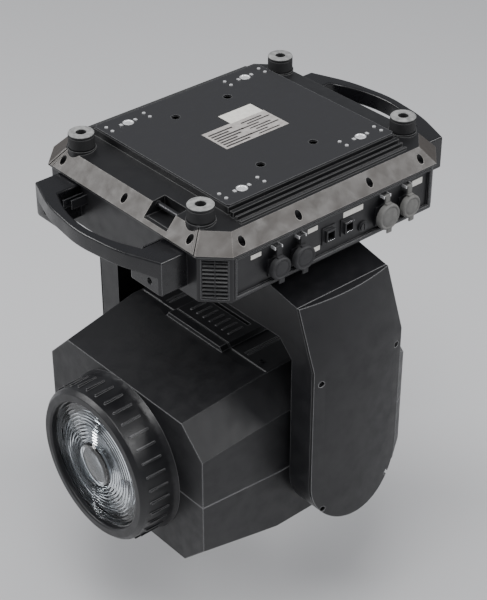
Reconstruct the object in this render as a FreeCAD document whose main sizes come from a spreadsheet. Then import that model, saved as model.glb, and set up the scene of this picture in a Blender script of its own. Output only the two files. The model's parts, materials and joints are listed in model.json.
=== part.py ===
import FreeCAD, Part
import math
import os
import re
import Sketcher
from FreeCAD import Placement, Rotation, Vector

# A large moving head stage light, drawn as it hangs: the base is uppermost with its
# underside facing up, the yoke hangs below it and the head lies level between the arms.
# The origin is the centre of the base's flat underside plate, where the clamp brackets
# lock in. +Z leaves that plate, -Y is the connector side, and the lens looks along -X.
# Lengths are millimetres. Heights below the plate are called drops and are positive.

SIZES = {
    # base shell
    "base_length": 440.0,        # X, over the widest edge of the skirt
    "base_width": 388.0,         # Y, over the same edge
    "corner_cut": 34.0,          # 45 degree corner of that edge
    "skirt_inset": 21.0,         # how far the skirt leans in towards its top
    "skirt_top_drop": 17.5,
    "skirt_low_drop": 40.5,
    "skirt_wall": 3.0,
    "lip_height": 3.0,
    "base_drop": 113.5,          # bottom of the base, towards the yoke
    "wall_inset": 4.0,
    "wall_thick": 3.5,
    "floor_thick": 4.0,
    # underside plate and what is on it
    "plate_margin_x": 69.0,      # plate edge in from the widest edge of the skirt
    "plate_margin_y": 50.5,
    "plate_thick": 3.0,
    "rim_width": 5.0,
    "ledge_roof": 6.0,           # top of the slope, out from the plate edge
    "socket_margin_x": 43.0,     # bracket socket in from the plate edge
    "socket_margin_y": 22.5,
    "socket_bore_radius": 8.0,
    "socket_flange_radius": 13.0,
    "socket_depth": 16.0,
    "rivet_reach": 33.0,
    "rivet_half_gap": 7.0,
    "rivet_radius": 2.5,
    "clamp_spacing_x": 96.0,
    "clamp_spacing_y": 180.0,
    "clamp_hole_radius": 6.5,
    # feet
    "foot_margin_x": 36.0,       # foot centre in from the widest edge of the skirt
    "foot_margin_y": 66.0,
    "foot_radius": 18.5,
    "foot_rise": 9.5,
    "foot_seat_drop": 13.0,
    "foot_well_radius": 7.5,
    "foot_well_depth": 9.0,
    # screws
    "screw_radius": 2.0,
    "screw_head_radius": 3.8,
    "screw_head_height": 2.4,
    "screw_clearance": 0.1,
    "counterbore_radius": 5.0,
    "screw_margin": 57.0,        # skirt screws in from the ends of each side
    "long_screw_offset": 65.0,   # the inner pair on the long sides, out from the middle
    "column_wall": 3.0,
    "tab_wall": 4.0,
    # safety cable bar
    "bar_radius": 4.0,
    "bar_notch_length": 48.0,
    "bar_notch_width": 22.0,
    "bar_foot_gap": 13.5,
    "bar_drop": 7.0,
    "bar_block_wall": 8.0,
    # handles
    "handle_reach": 76.0,
    "handle_margin": 56.0,       # handle end in from the side of the skirt
    "handle_block_width": 46.0,
    "handle_block_height": 52.0,
    "handle_grip_height": 25.0,
    "handle_grip_thick": 13.0,
    "handle_top_drop": 46.0,
    "handle_screw_rise": 12.0,   # the screw below the grip's underside
    "handle_screw_seat": 38.0,
    # connector side
    "panel_thick": 2.0,
    "panel_margin_low": 40.0,    # window ends in from the outside walls
    "panel_margin_high": 38.0,
    "panel_top_drop": 50.5,
    "panel_low_drop": 106.0,
    "panel_lap": 1.4,
    "row_length": 230.0,         # what the row of sockets itself takes up of the window
    "ear_wall": 2.4,
    "ear_gap": 0.6,
    "hinge_drop": 57.0,
    "hinge_radius": 2.4,
    "hinge_pin_radius": 1.0,
    "cap_wall": 2.6,
    "cap_slack": 1.5,
    "strap_width": 9.0,
    "strap_thick": 2.4,
    "barrel_reach": 9.0,
    "network_top_drop": 70.0,
    "network_low_drop": 88.0,
    "network_half": 8.0,
    "network_lip": 2.0,
    "network_reach": 3.0,        # how far the shells stand out of the wall
    "fuse_radius": 6.0,
    # corner vents
    "vent_width": 36.0,
    "vent_height": 60.0,
    "vent_slats": 8.0,
    "slat_height": 3.0,
    # display side
    "bezel_length": 150.0,
    "bezel_height": 54.0,
    "bezel_thick": 6.0,
    "screen_length": 66.0,
    "screen_height": 36.0,
    "screen_thick": 2.0,
    "display_frame": 8.0,        # bezel beside its window
    "button_radius": 4.5,
    "button_travel": 1.5,
    "button_gap": 0.4,
    "knob_radius": 11.0,
    "knob_height": 13.5,
    "spindle_radius": 3.0,
    "board_length": 140.0,
    "board_setback": 32.0,       # board behind the wall's face
    "chip_pitch": 34.0,
    "chip_length": 18.0,
    "chip_height": 4.0,
    "supply_gap": 14.0,
    "supply_half_width": 88.0,
    "supply_height": 44.0,
    "slot_pitch": 12.0,
    # pan bearing and drive
    "shaft_radius": 30.0,
    "shaft_bore_radius": 23.0,
    "boss_wall": 9.0,
    "bearing_radius": 45.0,
    "bearing_height": 16.0,
    "running_gap": 0.05,
    "pan_pulley_radius": 75.0,
    "drive_pulley_radius": 15.0,
    "pulley_width": 12.0,
    "pulley_space": 28.0,        # between the rims of the two pan pulleys
    "pulley_clear": 3.0,
    "shelf_thick": 3.0,
    "shelf_lap": 4.0,
    "motor_width": 56.0,
    "motor_length": 46.0,
    "motor_shaft_radius": 4.0,
    "belt_thick": 1.6,
    "belt_gap": 0.3,
    # yoke
    "hub_gap": 3.0,
    "hub_radius": 72.0,
    "bridge_top_drop": 131.0,
    "bridge_flat": 80.0,
    "shoulder_drop": 158.0,
    "shoulder_out": 8.0,         # shoulder corner, out from the arm's inner face
    "elbow_drop": 246.0,
    "arm_depth": 41.0,
    "arm_inner": 197.0,          # half the space between the arms
    "arm_half_width": 84.0,
    "bridge_low_drop": 222.0,
    "arch_cut": 25.0,
    "yoke_wall": 4.0,
    "cover_edge": 4.0,
    "cover_bulge": 10.0,
    "cover_wall": 3.0,
    # tilt axis
    "tilt_clearance": 224.0,     # tilt axis below the underside of the bridge
    "trunnion_radius": 20.0,
    "trunnion_bore_radius": 14.0,
    "ring_wall": 8.0,            # round each tilt bearing
    "ring_out": 6.0,             # the rings past the inner and outer side of the wall
    "ring_in": 7.5,
    "tilt_bearing_radius": 31.0,
    "tilt_bearing_width": 11.0,
    "tilt_pulley_radius": 60.0,
    "tilt_drive_radius": 12.0,
    "tilt_pulley_width": 8.0,
    "tilt_motor_drop": 190.0,
    "tilt_motor_width": 52.0,
    "tilt_motor_length": 60.0,
    # head
    "head_gap": 11.0,            # between the head and an arm
    "head_half_height": 145.0,
    "head_rear": 168.0,
    "head_front": 228.0,
    "nose_drop": 21.0,
    "head_shoulder_x": 96.0,     # where the head starts to taper to the nose
    "tail_length": 26.0,
    "tail_drop": 16.0,
    "tail_taper": 14.0,
    "nose_taper": 10.0,
    "head_corner": 44.0,
    "head_wall": 3.0,
    "spine_half_width": 58.0,
    "spine_rise": 7.0,
    "spine_slope": 10.0,
    "inlet_start": 30.0,         # first inlet slot, ahead of the tilt axis
    "inlet_pitch": 15.0,
    "outlet_half_width": 74.0,
    "head_screw_front": 68.0,
    "head_screw_rear_margin": 60.0,
    "head_screw_margin": 68.0,
    "bezel_radius": 121.0,
    "bezel_reach": 62.0,
    "lens_radius": 100.0,
    "lens_thick": 9.0,
    "seam": 1.0,
    "frame_plate": 4.0,
    "frame_gap": 36.0,           # between the head's side and the chassis
    "trunnion_flange": 22.0,
    "frame_half_height": 100.0,
    "mid_plate_x": 62.0,
    "rear_plate_x": 60.0,
    "rail_radius": 4.0,
    "rail_margin": 32.0,
    "sleeve_radius": 9.0,
    "zoom_lens_radius": 62.0,
    "wheel_radius": 78.0,
    "wheel_pin_radius": 3.0,
    "filter_ring_radius": 56.0,
    "filter_radius": 17.0,
    "fin_count": 22.0,
    "fin_thick": 2.5,
    "fin_depth": 52.0,
    "sink_half_width": 104.0,
    "sink_half_height": 92.0,
    "sink_plate": 6.0,
    "fan_radius": 55.0,
    "fan_width": 25.0,
    "fan_hub_radius": 20.0,
    "fan_pin_radius": 2.0,
    "blade_lean": 38.0,
    "engine_half": 40.0,
    "hood_radius": 34.0,
    # locks
    "lock_travel": 8.0,
    "lock_slack": 0.4,
    "pan_lock_y": 40.0,
    "tilt_lock_offset": 21.0,    # out from the arm's inner face
    "pan_lock_rise": 42.0,
    "tilt_lock_rise": 80.0,
}

doc = FreeCAD.newDocument("moving_head_light")
sheet = doc.addObject("Spreadsheet::Sheet", "Sizes")
for row, (alias, amount) in enumerate(SIZES.items(), start=1):
    sheet.set(f"A{row}", alias)
    sheet.set(f"B{row}", str(amount))
    sheet.setAlias(f"B{row}", alias)
doc.recompute()

NODES = []


# ---------------------------------------------------------------- helpers

def bound(text):
    """Turn plain size names into references to the sheet."""
    def name(match):
        word = match.group(0)
        return f"Sizes.{word}" if word in SIZES else word
    return re.sub(r"[a-z_][a-z0-9_]*", name, str(text))


def amount(text):
    """The present number behind an expression."""
    found = sheet.evalExpression(bound(text))
    return float(getattr(found, "Value", found))


def neg(text):
    return f"-({text})"


def plus(*texts):
    return " + ".join(f"({text})" for text in texts)


def place(item, spot):
    for letter, text in zip("xyz", spot):
        item.setExpression(f"Placement.Base.{letter}", bound(text))


def box(name, low, high):
    """A block between two corners."""
    item = doc.addObject("Part::Box", name)
    for side, first, last in zip(("Length", "Width", "Height"), low, high):
        item.setExpression(side, bound(f"({last}) - ({first})"))
    place(item, low)
    return item


TURNS = {
    "x": Rotation(Vector(0, 1, 0), 90),
    "y": Rotation(Vector(1, 0, 0), -90),
    "z": Rotation(),
}


def rod(name, axis, low, high, across, radius):
    """A cylinder along a row axis from low to high; across holds its other two coordinates."""
    item = doc.addObject("Part::Cylinder", name)
    item.setExpression("Radius", bound(radius))
    item.setExpression("Height", bound(f"({high}) - ({low})"))
    item.Placement = Placement(Vector(), TURNS[axis])
    spot = list(across)
    spot.insert("xyz".index(axis), low)
    place(item, spot)
    return item


def fuse(name, parts):
    item = doc.addObject("Part::MultiFuse", name)
    item.Shapes = parts
    return item


def common(name, first, second):
    item = doc.addObject("Part::Common", name)
    item.Base = first
    item.Tool = second
    return item


def cut(name, base, tools):
    item = doc.addObject("Part::Cut", name)
    item.Base = base
    item.Tool = tools[0] if len(tools) == 1 else fuse(f"{name}_tools", tools)
    return item


def group(name, parts):
    item = doc.addObject("Part::Compound", name)
    item.Links = parts
    return item


def tube(name, axis, low, high, across, outer, inner):
    return cut(name, rod(f"{name}_outer", axis, low, high, across, outer),
               [rod(f"{name}_inner", axis, f"({low}) - 1", f"({high}) + 1", across, inner)])


def new_sketch(body, name, plane, offset):
    """A sketch on one of the body's own planes, shifted along that plane's normal."""
    sketch = body.newObject("Sketcher::SketchObject", name)
    support = [f for f in body.Origin.OriginFeatures if f.Role == f"{plane}_Plane"][0]
    sketch.AttachmentSupport = [(support, "")]
    sketch.MapMode = "FlatFace"
    sketch.setExpression("AttachmentOffset.Base.z", bound(offset))
    return sketch


def pin_point(sketch, geometry, end, spot):
    """Tie a point of the sketch to the sheet."""
    for kind, text in zip(("DistanceX", "DistanceY"), spot):
        index = sketch.addConstraint(Sketcher.Constraint(kind, -1, 1, geometry, end, amount(text)))
        sketch.setExpression(f"Constraints[{index}]", bound(text))


def draw_outline(sketch, points):
    """A closed outline of straight sides through points given as expressions."""
    spots = [Vector(amount(x), amount(y), 0) for x, y in points]
    first = sketch.GeometryCount
    count = len(points)
    for index, spot in enumerate(spots):
        sketch.addGeometry(Part.LineSegment(spot, spots[(index + 1) % count]), False)
    for index in range(count):
        following = first + (index + 1) % count
        sketch.addConstraint(Sketcher.Constraint("Coincident", first + index, 2, following, 1))
    for index, point in enumerate(points):
        pin_point(sketch, first + index, 1, point)


def draw_circle(sketch, centre, radius):
    spot = Vector(amount(centre[0]), amount(centre[1]), 0)
    index = sketch.addGeometry(Part.Circle(spot, Vector(0, 0, 1), amount(radius)), False)
    pin_point(sketch, index, 3, centre)
    bond = sketch.addConstraint(Sketcher.Constraint("Radius", index, amount(radius)))
    sketch.setExpression(f"Constraints[{bond}]", bound(radius))


def draw_bow(sketch, half_chord, chord, bulge, back):
    """A closed outline with a straight back and a bowed front, for a panel seen from its end."""
    left = Vector(-amount(half_chord), amount(chord), 0)
    right = Vector(amount(half_chord), amount(chord), 0)
    top = Vector(0, amount(plus(chord, bulge)), 0)
    arc = sketch.addGeometry(Part.Arc(right, top, left), False)
    rear = amount(back)
    rear_left = Vector(left.x, rear, 0)
    rear_right = Vector(right.x, rear, 0)
    sides = [(left, rear_left), (rear_left, rear_right), (rear_right, right)]
    lines = [sketch.addGeometry(Part.LineSegment(a, b), False) for a, b in sides]
    start, finish = (1, 2) if amount(bulge) > 0 else (2, 1)
    links = [(arc, finish, lines[0], 1), (lines[0], 2, lines[1], 1),
             (lines[1], 2, lines[2], 1), (lines[2], 2, arc, start)]
    for link in links:
        sketch.addConstraint(Sketcher.Constraint("Coincident", *link))
    pin_point(sketch, lines[0], 1, (neg(half_chord), chord))
    pin_point(sketch, lines[1], 1, (neg(half_chord), back))
    pin_point(sketch, lines[2], 1, (half_chord, back))
    pin_point(sketch, lines[2], 2, (half_chord, chord))
    radius = f"(({half_chord}) ^ 2 + ({bulge}) ^ 2) / (2 * abs({bulge}))"
    bond = sketch.addConstraint(Sketcher.Constraint("Radius", arc, amount(radius)))
    sketch.setExpression(f"Constraints[{bond}]", bound(radius))


def prism(name, plane, low, high, outlines, circles=()):
    """A padded body: outlines and circles drawn across a row axis, from low to high on it."""
    body = doc.addObject("PartDesign::Body", name)
    # the normal of the XZ plane points along -Y, so its pads start from the high end
    start = neg(high) if plane == "XZ" else low
    sketch = new_sketch(body, f"{name}_sketch", plane, start)
    for outline in outlines:
        draw_outline(sketch, outline)
    for centre, radius in circles:
        draw_circle(sketch, centre, radius)
    pad = body.newObject("PartDesign::Pad", f"{name}_pad")
    pad.Profile = sketch
    pad.setExpression("Length", bound(f"({high}) - ({low})"))
    body.Tip = pad
    return body


def lofted(name, plane, sections):
    """A body lofted straight through outlines, each given with its place along the normal."""
    body = doc.addObject("PartDesign::Body", name)
    sketches = []
    for index, (offset, outline) in enumerate(sections):
        sketch = new_sketch(body, f"{name}_section{index}", plane, offset)
        draw_outline(sketch, outline)
        sketches.append(sketch)
    loft = body.newObject("PartDesign::AdditiveLoft", f"{name}_loft")
    loft.Profile = sketches[0]
    loft.Sections = sketches[1:]
    loft.Ruled = True
    body.Tip = loft
    return body


def turned(name, plane, outline, axis):
    """A body of revolution about the sketch's own H_Axis or V_Axis."""
    body = doc.addObject("PartDesign::Body", name)
    sketch = new_sketch(body, f"{name}_sketch", plane, "0")
    draw_outline(sketch, outline)
    spin = body.newObject("PartDesign::Revolution", f"{name}_spin")
    spin.Profile = sketch
    spin.ReferenceAxis = (sketch, [axis])
    spin.Angle = 360
    body.Tip = spin
    return body


def octagon(half_x, half_y, corner):
    """A rectangle with its corners cut at 45 degrees."""
    inner_x = f"({half_x}) - ({corner})"
    inner_y = f"({half_y}) - ({corner})"
    return [(inner_x, neg(half_y)), (half_x, neg(inner_y)), (half_x, inner_y), (inner_x, half_y),
            (neg(inner_x), half_y), (neg(half_x), inner_y), (neg(half_x), neg(inner_y)),
            (neg(inner_x), neg(half_y))]


def rectangle(half_x, half_y):
    return [(half_x, neg(half_y)), (half_x, half_y), (neg(half_x), half_y), (neg(half_x), neg(half_y))]


def shifted(outline, shift_x, shift_y):
    return [(plus(x, shift_x), plus(y, shift_y)) for x, y in outline]


def four(half_x, half_y):
    """The four corners of a centred rectangle."""
    return [(neg(half_x), neg(half_y)), (half_x, neg(half_y)), (half_x, half_y), (neg(half_x), half_y)]


def keep(label, item):
    """Name a finished sub-part."""
    item.Label = label
    NODES.append(item)
    return item


def screw(name, axis, head_start, sign, across, length):
    """A pan head screw whose head stands on head_start and leaves along sign times the axis."""
    if sign > 0:
        head = (head_start, plus(head_start, "screw_head_height"))
        shank = (f"({head_start}) - ({length})", head_start)
        recess = (plus(head_start, "screw_head_height / 2"), plus(head_start, "screw_head_height + 1"))
    else:
        head = (f"({head_start}) - screw_head_height", head_start)
        shank = (head_start, plus(head_start, length))
        recess = (f"({head_start}) - screw_head_height - 1", f"({head_start}) - screw_head_height / 2")
    top = rod(f"{name}_head", axis, *head, across, "screw_head_radius")
    body = rod(f"{name}_shank", axis, *shank, across, "screw_radius")
    drive = rod(f"{name}_drive", axis, *recess, across, "screw_head_radius / 2.4")
    return cut(name, fuse(f"{name}_solid", [top, body]), [drive])


# ---------------------------------------------------------------- shared expressions

SKIRT_HALF_X = "base_length / 2"
SKIRT_HALF_Y = "base_width / 2"
TOP_HALF_X = "base_length / 2 - skirt_inset"
TOP_HALF_Y = "base_width / 2 - skirt_inset"
TOP_CORNER = "corner_cut - skirt_inset * 0.29"
WALL_HALF_X = "base_length / 2 - wall_inset"
WALL_HALF_Y = "base_width / 2 - wall_inset"
WALL_CORNER = "corner_cut - wall_inset * 0.6"
WALL_TOP = "-skirt_low_drop - lip_height"
BASE_LOW = "-base_drop"
FLOOR_TOP = "-base_drop + floor_thick"
INNER_Y = "base_width / 2 - wall_inset - wall_thick"
TILT_Z = "(-bridge_low_drop - tilt_clearance)"

# skirt screws stand half way down the leaning band
SKIRT_SCREW_X = "base_length / 2 - skirt_inset * 0.48"
SKIRT_SCREW_Y = "base_width / 2 - skirt_inset * 0.48"
END_SCREW_X = "base_length / 2 - screw_margin"
END_SCREW_Y = "base_width / 2 - screw_margin"
LONG_SIDE_SCREWS = [neg(END_SCREW_X), "-long_screw_offset", "long_screw_offset", END_SCREW_X]
SHORT_SIDE_SCREWS = [neg(END_SCREW_Y), "0", END_SCREW_Y]
SKIRT_SCREWS = [(x, y) for y in (neg(SKIRT_SCREW_Y), SKIRT_SCREW_Y) for x in LONG_SIDE_SCREWS]
SKIRT_SCREWS += [(x, y) for x in (neg(SKIRT_SCREW_X), SKIRT_SCREW_X) for y in SHORT_SIDE_SCREWS]
SCREW_SEAT = "-skirt_low_drop + 3"
PLATE_HALF_X = "(base_length / 2 - plate_margin_x)"
PLATE_HALF_Y = "(base_width / 2 - plate_margin_y)"
FOOT_HALF_Y = "(base_width / 2 - foot_margin_y)"
FOOT_SPOTS = four("base_length / 2 - foot_margin_x", FOOT_HALF_Y)
SOCKET_SPOTS = four(f"{PLATE_HALF_X} - socket_margin_x", f"{PLATE_HALF_Y} - socket_margin_y")
# the safety bar lies beside the foot on the -X, -Y corner
BAR_X = f"-({TOP_HALF_X} - bar_notch_width / 2 + 2)"
BAR_Y = f"-({FOOT_HALF_Y} - foot_radius - bar_foot_gap - bar_notch_length / 2)"
BAR_Z = "-skirt_top_drop - bar_drop"
HANDLE_SPAN = "(base_width / 2 - handle_margin)"
HANDLE_SCREW_Y = f"({HANDLE_SPAN} - handle_block_width / 2)"
HANDLE_SCREW_Z = "-handle_top_drop - handle_grip_height - handle_screw_rise"
PANEL_LOW_X = f"-({WALL_HALF_X} - panel_margin_low)"
PANEL_HIGH_X = f"({WALL_HALF_X} - panel_margin_high)"
PAN_MOTOR_X = "(pan_pulley_radius + drive_pulley_radius + pulley_space)"
SHOULDER_REACH = "(arm_inner + shoulder_out)"
ARM_REACH = "(arm_inner + arm_depth)"
HEAD_HALF_Y = "(arm_inner - head_gap)"
FRAME_HALF_Y = f"({HEAD_HALF_Y} - frame_gap)"
RAIL_Y = f"({FRAME_HALF_Y} - rail_margin)"
PAN_PULLEY_LOW = "-base_drop + bearing_height + 7"
PAN_PULLEY_HIGH = f"{PAN_PULLEY_LOW} + pulley_width"
SHELF_LOW = f"{PAN_PULLEY_HIGH} + pulley_clear"
SHELF_TOP = f"{SHELF_LOW} + shelf_thick"


# ---------------------------------------------------------------- base shells

# ribs on the ledge along both long sides of the plate: gap from the plate, width, drop
LEDGE_RIBS = ((3.5, 6.5, 6.5), (14.0, 3.0, 9.5), (22.0, 3.0, 13.0))


def make_skirt_outside():
    """The leaning band, the slope above it, the raised platform and the ledge ribs."""
    wide = octagon(SKIRT_HALF_X, SKIRT_HALF_Y, "corner_cut")
    narrow = octagon(TOP_HALF_X, TOP_HALF_Y, TOP_CORNER)
    lip = prism("skirt_lip", "XY", WALL_TOP, "-skirt_low_drop", [wide])
    band = lofted("skirt_band", "XY", [("-skirt_low_drop", wide), ("-skirt_top_drop", narrow)])
    roof = octagon(plus(PLATE_HALF_X, "ledge_roof"), plus(PLATE_HALF_Y, "ledge_roof"), TOP_CORNER + " - 8")
    slope = lofted("skirt_slope", "XY", [("-skirt_top_drop", narrow), ("-skirt_top_drop + 4", roof)])
    platform = prism("skirt_platform", "XY", "-skirt_top_drop", "-plate_thick",
                     [rectangle(PLATE_HALF_X, PLATE_HALF_Y)])
    solids = [lip, band, slope, platform]
    for side in (-1, 1):
        for index, (gap, width, drop) in enumerate(LEDGE_RIBS):
            ends = [f"{side} * ({PLATE_HALF_Y} + {gap})", f"{side} * ({PLATE_HALF_Y} + {gap + width})"]
            low_y, high_y = ends[::side]
            solids.append(box(f"ledge_rib{index}_{side + 1}",
                              (neg(PLATE_HALF_X), low_y, "-skirt_top_drop - 1"),
                              (PLATE_HALF_X, high_y, f"-{drop}")))
    for index, spot in enumerate(FOOT_SPOTS):
        solids.append(rod(f"foot_seat{index}", "z", "-skirt_low_drop + 8", "-foot_seat_drop", spot,
                          "foot_radius + 1.5"))
    return fuse("skirt_outside", solids), fuse("skirt_envelope", [band, lip])


def make_skirt_frame():
    """The hollow skirt with its screw columns, and the safety cable bar in its notch."""
    outside, envelope = make_skirt_outside()
    inner_wide = octagon(f"{SKIRT_HALF_X} - skirt_wall", f"{SKIRT_HALF_Y} - skirt_wall", "corner_cut")
    inner_narrow = octagon(f"{TOP_HALF_X} - skirt_wall", f"{TOP_HALF_Y} - skirt_wall", TOP_CORNER)
    ceiling = "-skirt_top_drop - skirt_wall"
    hollow = lofted("skirt_hollow", "XY", [(f"{WALL_TOP} - 1", inner_wide), (ceiling, inner_narrow)])
    window = prism("skirt_window", "XY", f"{ceiling} - 1", "1",
                   [rectangle(f"{PLATE_HALF_X} - rim_width", f"{PLATE_HALF_Y} - rim_width")])
    shell = cut("skirt_shell", outside, [hollow, window])
    columns = [rod(f"skirt_column{i}", "z", WALL_TOP, "-skirt_top_drop", spot,
                   "counterbore_radius + column_wall")
               for i, spot in enumerate(SKIRT_SCREWS)]
    reach_x = "bar_notch_width / 2 + bar_block_wall"
    reach_y = "bar_notch_length / 2 + bar_block_wall"
    block = box("bar_block", (f"{BAR_X} - ({reach_x})", f"{BAR_Y} - ({reach_y})", WALL_TOP),
                (f"{BAR_X} + bar_notch_width / 2 + 4", f"{BAR_Y} + {reach_y}", "-skirt_top_drop"))
    solid_bits = common("skirt_solid_bits", fuse("skirt_columns", columns + [block]), envelope)
    joined = fuse("skirt_joined", [shell, solid_bits])
    tools = []
    for index, spot in enumerate(SKIRT_SCREWS):
        tools.append(rod(f"counterbore{index}", "z", SCREW_SEAT, "0", spot, "counterbore_radius"))
    for index, spot in enumerate(SKIRT_SCREWS + FOOT_SPOTS):
        tools.append(rod(f"screw_way{index}", "z", f"{WALL_TOP} - 1", "0", spot,
                         "screw_radius + screw_clearance"))
    tools.append(box("bar_notch", (f"{BAR_X} - bar_notch_width - 10", f"{BAR_Y} - bar_notch_length / 2",
                                   "-skirt_low_drop + 5"),
                     (f"{BAR_X} + bar_notch_width / 2", f"{BAR_Y} + bar_notch_length / 2", "0")))
    end = "bar_notch_length / 2 + 5"
    tools.append(rod("bar_bore", "y", f"{BAR_Y} - ({end}) - 0.9", f"{BAR_Y} + {end} + 0.9", (BAR_X, BAR_Z),
                     "bar_radius + running_gap"))
    keep("skirt_frame", cut("skirt_frame", joined, tools))
    keep("safety_bar", rod("safety_bar", "y", f"{BAR_Y} - ({end})", f"{BAR_Y} + {end}", (BAR_X, BAR_Z),
                           "bar_radius"))


def corner_frame(item, index):
    """Place an item on one of the four cut corners, facing out."""
    sign_x, sign_y = ((-1, -1), (1, -1), (1, 1), (-1, 1))[index]
    angle = math.degrees(math.atan2(sign_y, sign_x))
    item.Placement = Placement(Vector(), Rotation(Vector(0, 0, 1), angle))
    middle = f"({WALL_CORNER}) / 2"
    place(item, (f"{sign_x} * ({WALL_HALF_X} - {middle})", f"{sign_y} * ({WALL_HALF_Y} - {middle})",
                 "-(skirt_low_drop + lip_height + base_drop) / 2"))


def make_base_housing():
    """The walls and floor of the base, with the pan bearing boss and the pan motor shelf."""
    outline = octagon(WALL_HALF_X, WALL_HALF_Y, WALL_CORNER)
    inside = octagon(f"{WALL_HALF_X} - wall_thick", f"{WALL_HALF_Y} - wall_thick", WALL_CORNER)
    outer = prism("housing_outer", "XY", BASE_LOW, WALL_TOP, [outline])
    hollow = prism("housing_hollow", "XY", FLOOR_TOP, f"{WALL_TOP} + 1", [inside])
    shell = cut("housing_shell", outer, [hollow])
    boss = rod("bearing_boss", "z", BASE_LOW, f"{BASE_LOW} + bearing_height + 4", ("0", "0"),
               "bearing_radius + boss_wall")
    half = "(motor_width / 2 + shelf_lap)"
    shelf_end = f"{PAN_MOTOR_X} + {half} + 2 + shelf_lap"
    shelf = box("motor_shelf", (f"{PAN_MOTOR_X} - {half}", neg(half), SHELF_LOW),
                (shelf_end, half, SHELF_TOP))
    leg = box("motor_leg", (f"{shelf_end} - shelf_lap", neg(half), FLOOR_TOP), (shelf_end, half, SHELF_TOP))
    solids = [shell, boss, shelf, leg]
    tabs = [rod(f"screw_tab{i}", "z", f"{WALL_TOP} - 5", WALL_TOP, spot, "screw_radius + tab_wall")
            for i, spot in enumerate(SKIRT_SCREWS)]
    tabs_inside = common("screw_tabs", fuse("screw_tab_rods", tabs), outer)
    joined = fuse("housing_joined", solids + [tabs_inside])
    tools = [rod(f"tab_bore{i}", "z", f"{WALL_TOP} - 6", f"{WALL_TOP} + 1", spot,
                 "screw_radius + screw_clearance")
             for i, spot in enumerate(SKIRT_SCREWS)]
    tools.append(rod("hub_way", "z", f"{BASE_LOW} - 1", f"{BASE_LOW} + 3", ("0", "0"),
                     "bearing_radius - 5"))
    tools.append(rod("bearing_seat", "z", f"{BASE_LOW} + 2", f"{BASE_LOW} + bearing_height + 5", ("0", "0"),
                     "bearing_radius"))
    tools.append(rod("motor_shaft_way", "z", f"{SHELF_LOW} - 1", f"{SHELF_TOP} + 1", (PAN_MOTOR_X, "0"),
                     "motor_shaft_radius * 3"))
    tools.append(box("connector_window", (PANEL_LOW_X, f"-({WALL_HALF_Y}) - 1", "-panel_low_drop"),
                     (PANEL_HIGH_X, f"-({INNER_Y}) + 1", "-panel_top_drop")))
    tools.append(box("display_window", ("-bezel_length / 2 + 8", f"{INNER_Y} - 1", "-panel_low_drop + 6"),
                     ("bezel_length / 2 - 8", f"{WALL_HALF_Y} + 1", "-panel_top_drop - 6")))
    for index in range(4):
        window = doc.addObject("Part::Box", f"vent_window{index}")
        window.setExpression("Length", bound("wall_thick + 6"))
        window.setExpression("Width", bound("vent_width"))
        window.setExpression("Height", bound("vent_height"))
        holder = doc.addObject("Part::Compound", f"vent_window_holder{index}")
        window.setExpression("Placement.Base.x", bound("-wall_thick - 3"))
        window.setExpression("Placement.Base.y", bound("-vent_width / 2"))
        window.setExpression("Placement.Base.z", bound("-vent_height / 2"))
        holder.Links = [window]
        corner_frame(holder, index)
        tools.append(holder)
    for side in (-1, 1):
        # one bore runs through both end walls
        tools.append(rod(f"handle_bore{side + 1}", "x", f"-({WALL_HALF_X}) - 1", f"{WALL_HALF_X} + 1",
                         (f"{side} * {HANDLE_SCREW_Y}", HANDLE_SCREW_Z), "screw_radius + screw_clearance"))
    keep("base_housing", cut("base_housing", joined, tools))


def make_corner_vents():
    """Louvred blocks that fill the cut corners: a frame, level slats and one upright rib."""
    blocks = []
    slats = int(amount("vent_slats"))
    for index in range(4):
        half = "vent_width / 2"
        back = box(f"vent_back{index}", ("-wall_thick - 2", neg(half), "-vent_height / 2"),
                   ("-wall_thick", half, "vent_height / 2"))
        rails = [back]
        for side in (-1, 1):
            low, high = (neg(half), f"-({half}) + 2.5") if side < 0 else (f"{half} - 2.5", half)
            rails.append(box(f"vent_side{index}_{side + 1}", ("-wall_thick", low, "-vent_height / 2"),
                             ("0", high, "vent_height / 2")))
        for slat in range(slats + 1):
            level = f"-vent_height / 2 + (vent_height - slat_height) * {slat} / vent_slats"
            rails.append(box(f"vent_slat{index}_{slat}", ("-wall_thick", neg(half), level),
                             ("0.6", half, f"{level} + slat_height")))
        rails.append(box(f"vent_rib{index}", ("-wall_thick", "-1", "-vent_height / 2"),
                         ("1.4", "1", "vent_height / 2")))
        block = fuse(f"vent_block{index}", rails)
        corner_frame(block, index)
        blocks.append(block)
    keep("corner_vents", group("corner_vents", blocks))


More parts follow.
